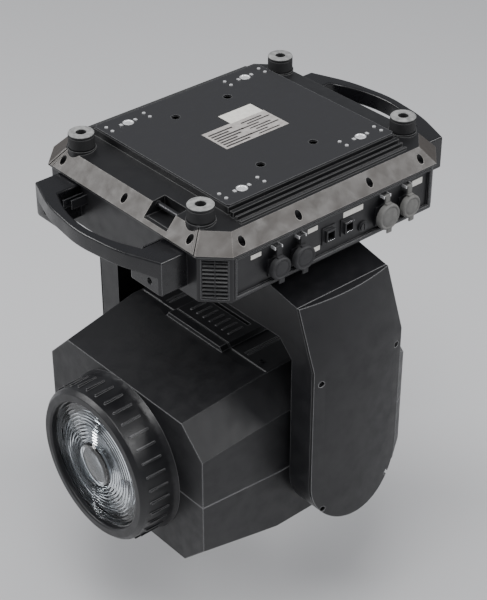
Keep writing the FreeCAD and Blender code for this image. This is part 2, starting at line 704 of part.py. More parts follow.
def make_underside_plate():
    holes = [(spot, "socket_bore_radius") for spot in SOCKET_SPOTS]
    holes += [(spot, "clamp_hole_radius") for spot in four("clamp_spacing_x / 2", "clamp_spacing_y / 2")]
    rivets = []
    for x, y in SOCKET_SPOTS:
        for across in ("-rivet_reach", "rivet_reach"):
            for along in ("-rivet_half_gap", "rivet_half_gap"):
                rivets.append((plus(x, across), plus(y, along)))
    holes += [(spot, "rivet_radius - 1 + screw_clearance") for spot in rivets]
    outline = octagon(PLATE_HALF_X, PLATE_HALF_Y, "4")
    keep("underside_plate", prism("underside_plate", "XY", "-plate_thick", "0", [outline], holes))
    pieces = []
    for index, spot in enumerate(rivets):
        head = rod(f"rivet_head{index}", "z", "0", "1.2", spot, "rivet_radius")
        stem = rod(f"rivet_stem{index}", "z", "-plate_thick", "0", spot, "rivet_radius - 1")
        pieces.append(fuse(f"rivet{index}", [head, stem]))
    keep("socket_rivets", group("socket_rivets", pieces))
    sockets = []
    for index, spot in enumerate(SOCKET_SPOTS):
        flange = rod(f"socket_flange{index}", "z", "-plate_thick - 2", "-plate_thick", spot,
                     "socket_flange_radius")
        barrel = rod(f"socket_barrel{index}", "z", "-plate_thick - socket_depth", "-plate_thick", spot,
                     "socket_bore_radius + 1.5")
        bore = rod(f"socket_bore{index}", "z", "-plate_thick - socket_depth + 3", "1", spot,
                   "socket_bore_radius - 2")
        x, y = spot
        slot = box(f"socket_slot{index}",
                   (f"({x}) - socket_bore_radius + 0.5", f"({y}) - 2", "-plate_thick - 3"),
                   (f"({x}) + socket_bore_radius - 0.5", f"({y}) + 2", "1"))
        sockets.append(cut(f"socket{index}", fuse(f"socket_solid{index}", [flange, barrel]), [bore, slot]))
    keep("quarter_turn_sockets", group("quarter_turn_sockets", sockets))


def make_feet():
    feet = []
    for index, spot in enumerate(FOOT_SPOTS):
        lower = rod(f"foot_lower{index}", "z", "-foot_seat_drop", "foot_rise - 3", spot, "foot_radius")
        upper = rod(f"foot_upper{index}", "z", "foot_rise - 3", "foot_rise", spot, "foot_radius - 1.5")
        well = rod(f"foot_well{index}", "z", "foot_rise - foot_well_depth", "foot_rise + 1", spot,
                   "foot_well_radius")
        way = rod(f"foot_bore{index}", "z", "-foot_seat_drop - 1", "foot_rise", spot,
                  "screw_radius + screw_clearance")
        feet.append(cut(f"foot{index}", fuse(f"foot_solid{index}", [lower, upper]), [well, way]))
    keep("rubber_feet", group("rubber_feet", feet))


def handle_outline(reach, span, corner, back):
    """Half of a handle seen from above: a bow with cut corners, closed along the wall."""
    return [(back, neg(span)), (f"{reach} - {corner}", neg(span)),
            (f"{reach} - {corner} * 0.3", f"-({span}) * 0.55"),
            (reach, "0"), (f"{reach} - {corner} * 0.3", f"({span}) * 0.55"), (f"{reach} - {corner}", span),
            (back, span)]


def make_handle(name, sign):
    """A moulded carrying handle: two tall end blocks and a bowed grip along their top."""
    wall = WALL_HALF_X
    outer = handle_outline(plus(wall, "handle_reach"), HANDLE_SPAN, "34", wall)
    inner = handle_outline(plus(wall, "handle_reach - handle_grip_thick"),
                           f"{HANDLE_SPAN} - handle_block_width", "26", f"{wall} - 1")
    top = "-handle_top_drop"
    bow = prism(f"{name}_bow", "XY", f"{top} - handle_block_height", top, [outer])
    gap = prism(f"{name}_gap", "XY", f"{top} - handle_block_height - 1", f"{top} + 1", [inner])
    below = box(f"{name}_below", (f"{wall} + handle_screw_seat + 6", f"-{HANDLE_SPAN} - 1",
                                  f"{top} - handle_block_height - 1"),
                (f"{wall} + handle_reach + 1", f"{HANDLE_SPAN} + 1", f"{top} - handle_grip_height"))
    ways = []
    for side in (-1, 1):
        spot = (f"{side} * {HANDLE_SCREW_Y}", HANDLE_SCREW_Z)
        ways.append(rod(f"{name}_way{side + 1}", "x", f"{wall} - 1", f"{wall} + handle_reach", spot,
                        "screw_radius + screw_clearance"))
        ways.append(rod(f"{name}_recess{side + 1}", "x", f"{wall} + handle_screw_seat",
                        f"{wall} + handle_reach",
                        spot, "screw_head_radius + 1.2"))
    shape = cut(f"{name}_shape", bow, [gap, below] + ways)
    if sign > 0:
        keep(name, shape)
        return
    turned_round = doc.addObject("Part::Mirroring", name)
    turned_round.Source = shape
    turned_round.Base = Vector(0, 0, 0)
    turned_round.Normal = Vector(1, 0, 0)
    keep(name, turned_round)


def make_base_screws():
    """Every machine screw of the base: skirt, feet and handles."""
    screws = [screw(f"skirt_screw{i}", "z", SCREW_SEAT, 1, spot, "8") for i,
              spot in enumerate(SKIRT_SCREWS)]
    for index, spot in enumerate(FOOT_SPOTS):
        screws.append(screw(f"foot_screw{index}", "z", "foot_rise - foot_well_depth", 1, spot, "20"))
    for sign in (-1, 1):
        for side in (-1, 1):
            spot = (f"{side} * {HANDLE_SCREW_Y}", HANDLE_SCREW_Z)
            seat = f"{sign} * ({WALL_HALF_X} + handle_screw_seat)"
            screws.append(screw(f"handle_screw{sign + 1}{side + 1}", "x", seat, sign, spot,
                                "handle_screw_seat + 4"))
    keep("base_screws", group("base_screws", screws))


# ---------------------------------------------------------------- connector side

PANEL_FRONT = f"-({INNER_Y})"
CAP_HINGE_Y = f"-({WALL_HALF_Y}) - hinge_radius"


def on_row(share, offset):
    """Along the window: its spare length is shared out between the sockets."""
    return f"({PANEL_LOW_X} + {share} * ({PANEL_HIGH_X} - {PANEL_LOW_X} - row_length) + {offset})"


# name: centre x, drop, barrel radius, cap radius
ROUND_SOCKETS = {
    "data_input": (on_row(0.4153, 16.5), "87", "11", "16.5"),
    "data_output": (on_row(0.4153, 58.5), "88", "11", "18"),
    "power_inlet": (on_row(0.7823, 170), "87", "13", "19.5"),
    "power_outlet": (on_row(0.7823, 213), "87", "11.5", "17"),
}
NETWORK_X = (on_row(0.6089, 88.5), on_row(0.6089, 122.5))
FUSE_X = on_row(0.6895, 142.5)
FUSE_Z = "-92"


def make_connector_panel():
    """The recessed plate with its socket holes and the wire staples that the cap straps turn on."""
    low = (f"{PANEL_LOW_X} - panel_lap", PANEL_FRONT, "-panel_low_drop - panel_lap")
    high = (f"{PANEL_HIGH_X} + panel_lap", f"{PANEL_FRONT} + panel_thick", "-panel_top_drop + panel_lap")
    plate = box("panel_plate", low, high)
    tools = []
    for name, (x, drop, barrel, _) in ROUND_SOCKETS.items():
        tools.append(rod(f"{name}_hole", "y", f"{PANEL_FRONT} - 1", f"{PANEL_FRONT} + panel_thick + 1",
                         (x, neg(drop)), barrel))
    for index, x in enumerate(NETWORK_X):
        tools.append(box(f"network_hole{index}",
                         (f"{x} - network_half", f"{PANEL_FRONT} - 1", "-network_low_drop"),
                         (f"{x} + network_half", f"{PANEL_FRONT} + panel_thick + 1", "-network_top_drop")))
    tools.append(rod("fuse_hole", "y", f"{PANEL_FRONT} - 1", f"{PANEL_FRONT} + panel_thick + 1",
                     (FUSE_X, FUSE_Z), "fuse_radius"))
    drilled = cut("panel_drilled", plate, tools)
    keep("connector_panel", fuse("connector_panel", [drilled] + cap_staples()))


def cap_staples():
    """One staple above each socket: a pin between two ears that stand on the panel."""
    staples = []
    near = "(strap_width / 2 + ear_gap)"
    far = "(strap_width / 2 + ear_wall)"
    for name, (x, *_) in ROUND_SOCKETS.items():
        staples.append(rod(f"{name}_staple_pin", "x", f"{x} - {far}", f"{x} + {far}",
                           (CAP_HINGE_Y, "-hinge_drop"), "hinge_pin_radius"))
        for side, low, high in ((-1, f"{x} - {far}", f"{x} - {near}"),
                                (1, f"{x} + {near}", f"{x} + {far}")):
            staples.append(box(f"{name}_ear{side + 1}",
                               (low, f"{CAP_HINGE_Y} - hinge_radius + 0.4", "-hinge_drop - 2"),
                               (high, PANEL_FRONT, "-hinge_drop + 2")))
    return staples


def make_round_sockets():
    """Flanged sockets with a barrel through the panel and a blind mouth for the plug."""
    for name, (x, drop, barrel, _) in ROUND_SOCKETS.items():
        spot = (x, neg(drop))
        tip = f"-({WALL_HALF_Y}) - barrel_reach"
        body = rod(f"{name}_body", "y", tip, f"{PANEL_FRONT} + 24", spot, barrel)
        edge = f"({barrel} + 2)"
        flange = box(f"{name}_flange", (f"{x} - {edge}", f"{PANEL_FRONT} - 2", f"-{drop} - {edge}"),
                     (f"{x} + {edge}", PANEL_FRONT, f"-{drop} + {edge}"))
        mouth = rod(f"{name}_mouth", "y", f"{tip} - 1", f"{tip} + 16", spot, f"({barrel}) - 2.5")
        keep(name, cut(name, fuse(f"{name}_solid", [body, flange]), [mouth]))


def make_network_sockets():
    """Square network shells through the panel, and the round fuse holder beside them."""
    sockets = []
    front = f"-({WALL_HALF_Y}) - network_reach"
    for index, x in enumerate(NETWORK_X):
        body = box(f"network_body{index}", (f"{x} - network_half", front, "-network_low_drop"),
                   (f"{x} + network_half", f"{PANEL_FRONT} + 18", "-network_top_drop"))
        flange = box(f"network_flange{index}",
                     (f"{x} - network_half - 4", f"{PANEL_FRONT} - 1.6", "-network_low_drop - 4"),
                     (f"{x} + network_half + 4", PANEL_FRONT, "-network_top_drop + 4"))
        lip = "network_half - network_lip"
        mouth = box(f"network_mouth{index}",
                    (f"{x} - ({lip})", f"{front} - 1", "-network_low_drop + network_lip + 1"),
                    (f"{x} + {lip}", f"{PANEL_FRONT} + 12", "-network_top_drop - network_lip - 1"))
        sockets.append(cut(f"network{index}", fuse(f"network_solid{index}", [body, flange]), [mouth]))
    keep("network_sockets", group("network_sockets", sockets))
    spot = (FUSE_X, FUSE_Z)
    face = f"-({WALL_HALF_Y}) - 1"
    holder = rod("fuse_body", "y", face, f"{PANEL_FRONT} + 26", spot, "fuse_radius")
    collar = rod("fuse_collar", "y", f"{PANEL_FRONT} - 2.5", PANEL_FRONT, spot, "fuse_radius + 2")
    slot = box("fuse_slot", (f"{FUSE_X} - 0.8", f"{face} - 1", f"{FUSE_Z} - fuse_radius + 1"),
               (f"{FUSE_X} + 0.8", f"{face} + 1.4", f"{FUSE_Z} + fuse_radius - 1"))
    keep("fuse_holder", cut("fuse_holder", fuse("fuse_solid", [holder, collar]), [slot]))


def make_caps():
    """Rubber caps that close the round sockets, each on a strap that folds at its hinge."""
    for name, (x, drop, barrel, cap) in ROUND_SOCKETS.items():
        tip = f"-({WALL_HALF_Y}) - barrel_reach"
        spot = (x, neg(drop))
        disc = rod(f"{name}_disc", "y", f"{tip} - cap_wall - 0.5", f"-({WALL_HALF_Y}) - 1", spot, cap)
        room = rod(f"{name}_room", "y", f"{tip} - 0.5", f"-({WALL_HALF_Y})", spot,
                   f"({barrel}) + cap_slack")
        strap_y = f"{CAP_HINGE_Y} - 1.2"
        half = "strap_width / 2"
        strap = box(f"{name}_strap", (f"{x} - {half}", f"{strap_y} - strap_thick / 2",
                                      f"-{drop} + {cap} - 1.5"),
                    (f"{x} + {half}", f"{strap_y} + strap_thick / 2", "-hinge_drop - hinge_radius * 0.5"))
        knuckle = rod(f"{name}_knuckle", "x", f"{x} - {half}", f"{x} + {half}",
                      (CAP_HINGE_Y, "-hinge_drop"),
                      "hinge_radius - 0.3")
        tab = box(f"{name}_tab", (f"{x} - 5", f"{tip} - cap_wall - 0.5", f"-{drop} - {cap} - 5"),
                  (f"{x} + 5", f"{tip} - 0.2", f"-{drop} - {cap} + 3"))
        solid = fuse(f"{name}_cap_solid", [disc, strap, knuckle, tab])
        eye = rod(f"{name}_eye", "x", f"{x} - {half} - 1", f"{x} + {half} + 1",
                  (CAP_HINGE_Y, "-hinge_drop"), "hinge_pin_radius + running_gap")
        keep(f"{name}_cap", cut(f"{name}_cap", solid, [room, eye]))


# ---------------------------------------------------------------- display side

DISPLAY_Z = "-(panel_top_drop + panel_low_drop) / 2"
# name: centre x, height above the display's middle
BUTTONS = {"menu_button": ("22", "11"), "enter_button": ("22", "-11"), "back_button": ("36", "0")}
KNOB_X = "56"


def make_display():
    """The display bezel on the side opposite the connectors, with its controls and its board."""
    face = WALL_HALF_Y
    outside = f"{face} + bezel_thick"
    screen = f"{face} + 3"
    bezel = box("bezel_block", ("-bezel_length / 2", face, f"{DISPLAY_Z} - bezel_height / 2"),
                ("bezel_length / 2", outside, f"{DISPLAY_Z} + bezel_height / 2"))
    tray = box("bezel_tray", ("-bezel_length / 2 + display_frame + 1", f"{face} - wall_thick - 8",
                              "-panel_low_drop + 7"),
               ("bezel_length / 2 - display_frame - 1", face, "-panel_top_drop - 7"))
    screen_low_x = "-bezel_length / 2 + display_frame"
    screen_high_x = f"{screen_low_x} + screen_length"
    tools = [box("screen_window", (screen_low_x, screen, f"{DISPLAY_Z} - screen_height / 2"),
                 (screen_high_x, f"{outside} + 1", f"{DISPLAY_Z} + screen_height / 2"))]
    for name, (x, rise) in BUTTONS.items():
        tools.append(rod(f"{name}_way", "y", f"{face} - 6", f"{outside} + 1", (x, plus(DISPLAY_Z, rise)),
                         "button_radius + button_gap"))
    tools.append(rod("knob_way", "y", f"{face} - 6", f"{outside} + 1", (KNOB_X, DISPLAY_Z),
                     "spindle_radius + running_gap"))
    keep("display_bezel", cut("display_bezel", fuse("bezel_solid", [bezel, tray]), tools))
    keep("display_screen", box("display_screen", (screen_low_x, screen, f"{DISPLAY_Z} - screen_height / 2"),
                               (screen_high_x, f"{screen} + screen_thick",
                                f"{DISPLAY_Z} + screen_height / 2")))
    for name, (x, rise) in BUTTONS.items():
        keep(name, rod(name, "y", f"{face} - 5.5 + button_travel", f"{outside} + 2",
                       (x, plus(DISPLAY_Z, rise)),
                       "button_radius"))
    grip = rod("knob_grip", "y", f"{outside} + 0.5", f"{outside} + 0.5 + knob_height", (KNOB_X, DISPLAY_Z),
               "knob_radius")
    spindle = rod("knob_spindle", "y", f"{face} - 5", f"{outside} + 1", (KNOB_X, DISPLAY_Z),
                  "spindle_radius")
    flutes = []
    for index in range(12):
        angle = 30 * index
        spot = (f"{KNOB_X} + knob_radius * cos({angle})", f"{DISPLAY_Z} + knob_radius * sin({angle})")
        flutes.append(rod(f"knob_flute{index}", "y", f"{outside} + 3", f"{outside} + 1.5 + knob_height",
                          spot, "0.9"))
    keep("encoder_knob", cut("encoder_knob", fuse("knob_solid", [grip, spindle]), flutes))
    make_board()


def make_board():
    """The control board behind the display, standing on two legs."""
    front = f"{WALL_HALF_Y} - board_setback"
    back = f"{front} - 2"
    low = "-panel_low_drop + 2"
    board = box("board_sheet", ("-board_length / 2", back, low),
                ("board_length / 2", front, "-panel_top_drop"))
    chips = []
    for index in range(4):
        start = f"-board_length / 2 + 10 + chip_pitch * {index}"
        chips.append(box(f"board_chip{index}",
                         (start, f"{back} - chip_height", f"{DISPLAY_Z} - chip_length"),
                         (f"{start} + chip_length", back, DISPLAY_Z)))
    legs = []
    for side in (-1, 1):
        middle = f"{side} * (board_length / 2 - 14)"
        legs.append(box(f"board_leg{side + 1}", (f"{middle} - 4", back, FLOOR_TOP),
                        (f"{middle} + 4", front, low)))
    keep("main_board", fuse("main_board", [board] + chips + legs))


# ---------------------------------------------------------------- base inside

BEARING_LOW = "-base_drop + 2"


def belt_shape(centre_distance, big, small, thick, width):
    """A flat belt round two pulleys: big round the origin, small at centre_distance on +X.

    Its tangents have no place in a row of sketches, so it is worked out from the numbers
    the sheet holds."""
    def loop(extra):
        big_radius = big + extra
        small_radius = small + extra
        lean = math.acos((big_radius - small_radius) / centre_distance)
        def at(centre, radius, angle):
            return Vector(centre + radius * math.cos(angle), radius * math.sin(angle), 0)
        upper = (at(0, big_radius, lean), at(centre_distance, small_radius, lean))
        lower = (at(centre_distance, small_radius, -lean), at(0, big_radius, -lean))
        edges = [
            Part.LineSegment(*upper).toShape(),
            Part.Arc(upper[1], at(centre_distance, small_radius, 0), lower[0]).toShape(),
            Part.LineSegment(*lower).toShape(),
            Part.Arc(lower[1], at(0, big_radius, math.pi), upper[0]).toShape(),
        ]
        return Part.Face(Part.Wire(edges))
    ring = loop(thick).cut(loop(0.0))
    return ring.extrude(Vector(0, 0, width))


def make_pan_drive():
    """The pan bearing, the belt drive beside it and the power supply."""
    keep("pan_bearing", tube("pan_bearing", "z", BEARING_LOW, f"{BEARING_LOW} + bearing_height", ("0", "0"),
                             "bearing_radius", "shaft_radius + running_gap"))
    keep("pan_pulley", tube("pan_pulley", "z", PAN_PULLEY_LOW, PAN_PULLEY_HIGH, ("0", "0"),
                            "pan_pulley_radius", "shaft_radius"))
    spot = (PAN_MOTOR_X, "0")
    case = box("pan_motor_case", (f"{PAN_MOTOR_X} - motor_width / 2", "-motor_width / 2", SHELF_TOP),
               (f"{PAN_MOTOR_X} + motor_width / 2", "motor_width / 2", f"{SHELF_TOP} + motor_length"))
    way = rod("pan_motor_way", "z", f"{SHELF_TOP} - 1", f"{SHELF_TOP} + 30", spot,
              "motor_shaft_radius + running_gap")
    keep("pan_motor", cut("pan_motor", case, [way]))
    wheel = rod("pan_drive_wheel", "z", PAN_PULLEY_LOW, PAN_PULLEY_HIGH, spot, "drive_pulley_radius")
    shaft = rod("pan_drive_shaft", "z", PAN_PULLEY_HIGH, f"{SHELF_TOP} + 28", spot, "motor_shaft_radius")
    keep("pan_drive_pulley", fuse("pan_drive_pulley", [wheel, shaft]))
    belt = doc.addObject("Part::Feature", "pan_belt")
    belt.Shape = belt_shape(amount(PAN_MOTOR_X), amount("pan_pulley_radius + belt_gap"),
                            amount("drive_pulley_radius + belt_gap"), amount("belt_thick"),
                            amount("pulley_width - 2"))
    belt.Placement = Placement(Vector(0, 0, amount(f"{PAN_PULLEY_LOW} + 1")), Rotation())
    keep("pan_belt", belt)
    # the power supply fills the -X end of the base and stays clear of the pan pulley
    low_x = f"-({WALL_HALF_X}) + wall_thick + supply_gap"
    top = f"{FLOOR_TOP} + supply_height"
    supply = box("supply_case", (low_x, "-supply_half_width", FLOOR_TOP),
                 (f"-({WALL_HALF_X}) / 2", "supply_half_width", top))
    slots = []
    for index in range(6):
        start = f"{low_x} + 20 + slot_pitch * {index}"
        slots.append(box(f"supply_slot{index}", (start, "-supply_half_width + 18", f"{top} - 2"),
                         (f"{start} + slot_pitch - 7", "supply_half_width - 18", f"{top} + 1")))
    keep("power_supply", cut("power_supply", supply, slots))


# ---------------------------------------------------------------- yoke

HUB_TOP = "-base_drop - hub_gap"
PAN_LOCK_Z = "-bridge_low_drop + pan_lock_rise"
TILT_LOCK_Y = "(arm_inner + tilt_lock_offset)"
TILT_LOCK_Z = f"{TILT_Z} + tilt_lock_rise"


def arm_envelope(name, margin):
    """What an arm may fill seen from its side: straight edges and a round lower end."""
    half = f"arm_half_width - ({margin})"
    far = f"{ARM_REACH} + 100"
    slab = box(f"{name}_slab", (neg(half), neg(far), TILT_Z), (half, far, "-base_drop"))
    disc = rod(f"{name}_disc", "y", neg(far), far, ("0", TILT_Z), half)
    return fuse(f"{name}_envelope", [slab, disc])


def outward(sign, near, far):
    """Low and high ends of a span on the side that sign tells, given as distances from the middle."""
    return (near, far) if sign > 0 else (neg(far), neg(near))


def make_yoke_frame():
    """Hub, hollow bridge and two open trays for the arms, with the bearing rings at their ends."""
    low = f"{TILT_Z} - arm_half_width - 2"
    half = [("bridge_flat", "-bridge_top_drop"), (SHOULDER_REACH, "-shoulder_drop"),
            (ARM_REACH, "-elbow_drop"), (ARM_REACH, low), ("arm_inner", low),
            ("arm_inner", "-bridge_low_drop - arch_cut"), ("arm_inner - arch_cut", "-bridge_low_drop")]
    outline = half + [(neg(y), z) for y, z in reversed(half)]
    profile = prism("yoke_profile", "YZ", "-arm_half_width", "arm_half_width", [outline])
    shaped = common("yoke_shaped", profile, arm_envelope("yoke", "0"))
    collar = rod("hub_collar", "z", "-bridge_top_drop - 1", HUB_TOP, ("0", "0"), "hub_radius")
    step = rod("hub_step", "z", HUB_TOP, "-base_drop + 1.5", ("0", "0"), "bearing_radius - 7")
    shaft = rod("hub_shaft", "z", "-base_drop + 1", f"{PAN_PULLEY_HIGH} + 6", ("0", "0"), "shaft_radius")
    joined = fuse("yoke_joined", [shaped, collar, step, shaft])
    tools = [rod("cable_way", "z", "-bridge_low_drop + yoke_wall + 6", "0", ("0", "0"),
                 "shaft_bore_radius")]
    tools.append(box("bridge_hollow", ("-arm_half_width + yoke_wall", "-300",
                                       "-bridge_low_drop + yoke_wall + 1"),
                     ("arm_half_width - yoke_wall", "300", "-shoulder_drop - yoke_wall")))
    for sign in (-1, 1):
        low_y, high_y = outward(sign, "arm_inner + yoke_wall", "arm_inner + 100")
        tray = box(f"arm_tray_block{sign + 1}", ("-arm_half_width", low_y, f"{TILT_Z} - arm_half_width"),
                   ("arm_half_width", high_y, "-shoulder_drop - yoke_wall - 4"))
        tools.append(common(f"arm_tray{sign + 1}", tray, arm_envelope(f"tray{sign + 1}", "yoke_wall")))
    hollow = cut("yoke_hollow", joined, tools)
    rings = []
    seats = []
    for sign in (-1, 1):
        span = outward(sign, "arm_inner - ring_in", "arm_inner + ring_out")
        rings.append(rod(f"arm_ring{sign + 1}", "y", *span, ("0", TILT_Z),
                         "tilt_bearing_radius + ring_wall"))
        span = outward(sign, "arm_inner - ring_out", "arm_inner + ring_out + 0.5")
        seats.append(rod(f"bearing_bore{sign + 1}", "y", *span, ("0", TILT_Z), "tilt_bearing_radius"))
    with_rings = fuse("yoke_with_rings", [hollow] + rings)
    way = rod("trunnion_way", "y", "-arm_inner - 10", "arm_inner + 10", ("0", TILT_Z),
              "tilt_bearing_radius - 5")
    slots = []
    for name, middle_y, z in (("pan", "pan_lock_y", PAN_LOCK_Z), ("tilt", TILT_LOCK_Y, TILT_LOCK_Z)):
        slots.append(box(f"{name}_lock_slot", ("arm_half_width - yoke_wall - 2", f"{middle_y} - 6",
                                               f"{z} - 5 - lock_slack - lock_travel"),
                         ("arm_half_width + 1", f"{middle_y} + 6", f"{z} + 5 + lock_slack")))
    keep("yoke_frame", cut("yoke_frame", with_rings, seats + [way] + slots))


def make_lock(name, middle_y, z):
    """A sliding lock: a finger pad outside the wall on a stem through its slot."""
    wall = "arm_half_width"
    pad = box(f"{name}_pad", (f"{wall} + lock_slack", f"{middle_y} - 9", f"{z} - 8"),
              (f"{wall} + 6", f"{middle_y} + 9", f"{z} + 8"))
    stem = box(f"{name}_stem", (f"{wall} - yoke_wall - lock_slack", f"{middle_y} - 6 + lock_slack",
                                f"{z} - 5"),
               (f"{wall} + 1", f"{middle_y} + 6 - lock_slack", f"{z} + 5"))
    plate = box(f"{name}_plate", (f"{wall} - yoke_wall - lock_slack - 3", f"{middle_y} - 8", f"{z} - 7"),
                (f"{wall} - yoke_wall - lock_slack", f"{middle_y} + 8", f"{z} + 7"))
    ridges = [box(f"{name}_ridge{i}", (f"{wall} + 5", f"{middle_y} - 8", f"{z} + {3.5 * i} - 0.8"),
                  (f"{wall} + 7.2", f"{middle_y} + 8", f"{z} + {3.5 * i} + 0.8")) for i in (-1, 0, 1)]
    keep(name, fuse(name, [pad, stem, plate] + ridges))


# the screws of a cover: two under the elbow and two beside the tilt axis
COVER_SCREWS = [("-arm_half_width + 12", "-elbow_drop - 22"), ("arm_half_width - 12", "-elbow_drop - 22"),
                ("-arm_half_width + 20", f"{TILT_Z} - 48"), ("arm_half_width - 20", f"{TILT_Z} - 48")]
COVER_SEAT = f"{ARM_REACH} + 2"


def bowed_loft(name, sign, chord_out, inset, back_out):
    """Lofted down an arm's outer face: shoulder, elbow, lower end. Seen from its end it is bowed."""
    body = doc.addObject("PartDesign::Body", name)
    levels = [("-shoulder_drop", SHOULDER_REACH), ("-elbow_drop", ARM_REACH),
              (f"{TILT_Z} - arm_half_width", ARM_REACH)]
    sketches = []
    for index, (level, reach) in enumerate(levels):
        sketch = new_sketch(body, f"{name}_level{index}", "XY", level)
        chord = f"{sign} * ({reach} + {chord_out})"
        back = f"{sign} * ({reach} + {back_out})"
        draw_bow(sketch, f"arm_half_width - {inset}", chord, f"{sign} * (cover_bulge)", back)
        sketches.append(sketch)
    loft = body.newObject("PartDesign::AdditiveLoft", f"{name}_loft")
    loft.Profile = sketches[0]
    loft.Sections = sketches[1:]
    loft.Ruled = True
    body.Tip = loft
    return body


def make_arm_cover(name, sign):
    """The outer cover of an arm: bowed in plan, leaning out to the elbow, then upright."""
    outer = bowed_loft(f"{name}_outer", sign, "cover_edge", "0", "0")
    inner = bowed_loft(f"{name}_inner", sign, "cover_edge - cover_wall", "cover_wall", "-2")
    trimmed = common(f"{name}_trim", outer, arm_envelope(name, "0"))
    inside = common(f"{name}_inside", inner, arm_envelope(f"{name}_inner", "cover_wall"))
    far = f"{ARM_REACH} + 100"
    room = box(f"{name}_room", ("-arm_half_width", neg(far), f"{TILT_Z} - arm_half_width"),
               ("arm_half_width", far, "-shoulder_drop - cover_wall"))
    hollow = common(f"{name}_hollow", inside, room)
    bores = []
    posts = []
    for index, spot in enumerate(COVER_SCREWS):
        bores.append(rod(f"{name}_bore{index}", "y", neg(far), far, spot, "screw_radius + screw_clearance"))
        bores.append(rod(f"{name}_counter{index}", "y", *outward(sign, COVER_SEAT, far), spot,
                         "screw_head_radius + 0.8"))
        posts.append(rod(f"{name}_post{index}", "y", *outward(sign, ARM_REACH, far), spot,
                         "screw_head_radius + 3"))
    solid_posts = common(f"{name}_posts", fuse(f"{name}_post_rods", posts), trimmed)
    thin = cut(f"{name}_thin", trimmed, [hollow])
    keep(name, cut(name, fuse(f"{name}_with_posts", [thin, solid_posts]), bores))


def make_yoke_screws():
    screws = []
    for sign in (-1, 1):
        for index, spot in enumerate(COVER_SCREWS):
            screws.append(screw(f"cover_screw{sign + 1}{index}", "y", f"{sign} * ({COVER_SEAT})", sign,
                                spot, "1.9"))
    keep("yoke_screws", group("yoke_screws", screws))


def make_tilt_drive():
    """Bearings on both sides of the head, and the belt drive inside the +Y arm."""
    bearings = []
    for sign in (-1, 1):
        span = outward(sign, "arm_inner + 5 - tilt_bearing_width", "arm_inner + 5")
        bearings.append(tube(f"tilt_bearing{sign + 1}", "y", *span, ("0", TILT_Z), "tilt_bearing_radius",
                             "trunnion_radius + running_gap"))
    keep("tilt_bearings", group("tilt_bearings", bearings))
    low = "arm_inner + 8"
    high = f"{low} + tilt_pulley_width"
    keep("tilt_pulley", tube("tilt_pulley", "y", low, high, ("0", TILT_Z), "tilt_pulley_radius",
                             "trunnion_radius"))
    spot = ("0", "-tilt_motor_drop")
    end = "arm_inner - 2"
    half = "tilt_motor_width / 2"
    case = box("tilt_motor_case", (neg(half), f"{end} - tilt_motor_length", f"-tilt_motor_drop - {half}"),
               (half, end, f"-tilt_motor_drop + {half}"))
    way = rod("tilt_motor_way", "y", f"{end} - 40", f"{end} + 1", spot, "motor_shaft_radius + running_gap")
    keep("tilt_motor", cut("tilt_motor", case, [way]))
    wheel = rod("tilt_drive_wheel", "y", low, high, spot, "tilt_drive_radius")
    shaft = rod("tilt_drive_shaft", "y", f"{end} - 36", low, spot, "motor_shaft_radius")
    keep("tilt_drive_pulley", fuse("tilt_drive_pulley", [wheel, shaft]))
    belt = doc.addObject("Part::Feature", "tilt_belt")
    belt.Shape = belt_shape(-amount(TILT_Z) - amount("tilt_motor_drop"),
                            amount("tilt_pulley_radius + belt_gap"),
                            amount("tilt_drive_radius + belt_gap"), amount("belt_thick"),
                            amount("tilt_pulley_width - 2"))
    # the belt's own X runs up to the motor and its own Z along +Y
    spin = Rotation(Vector(0, 0, 1), Vector(1, 0, 0), Vector(0, 1, 0), "XZY")
    belt.Placement = Placement(Vector(0, amount(f"{low} + 1"), amount(TILT_Z)), spin)
    keep("tilt_belt", belt)


# ---------------------------------------------------------------- head

def head_sections(margin):
    """Outlines of the head across X, from the rear to the front, shrunk by margin."""
    def section(taper_y, drop, corner):
        outline = octagon(f"{HEAD_HALF_Y} - {taper_y} - ({margin})",
                          f"head_half_height - {drop} - ({margin})",
                          f"{corner} - ({margin}) * 0.58")
        return shifted(outline, "0", TILT_Z)
    return [
        (f"head_rear - ({margin})", section("tail_taper", "tail_drop", "head_corner + 4")),
        ("head_rear - tail_length", section("0", "0", "head_corner")),
        ("-head_shoulder_x", section("0", "0", "head_corner")),
        (f"-head_front + ({margin})", section("nose_taper", "nose_drop", "head_corner")),
    ]


def spine(name, sign):
    """The raised middle of a cover, with sloping sides."""
    half = [("spine_half_width + spine_slope", "head_half_height - 8"),
            ("spine_half_width", "head_half_height + spine_rise")]
    points = [(y, f"{TILT_Z} + {sign} * ({z})") for y, z in half]
    points += [(neg(y), f"{TILT_Z} + {sign} * ({z})") for y, z in reversed(half)]
    return prism(name, "YZ", "-head_shoulder_x", "head_rear - tail_length", [points])


HEAD_SCREWS = [(x, f"{side} * ({HEAD_HALF_Y} - head_screw_margin)")
               for x in ("-head_screw_front", "head_rear - head_screw_rear_margin") for side in (-1, 1)]


def upward(sign, near, far):
    """Low and high ends of a span above or below the tilt axis, given as distances from it."""
    return (f"{TILT_Z} + {near}", f"{TILT_Z} + {far}") if sign > 0 else (f"{TILT_Z} - ({far})",
                                                                         f"{TILT_Z} - ({near})")


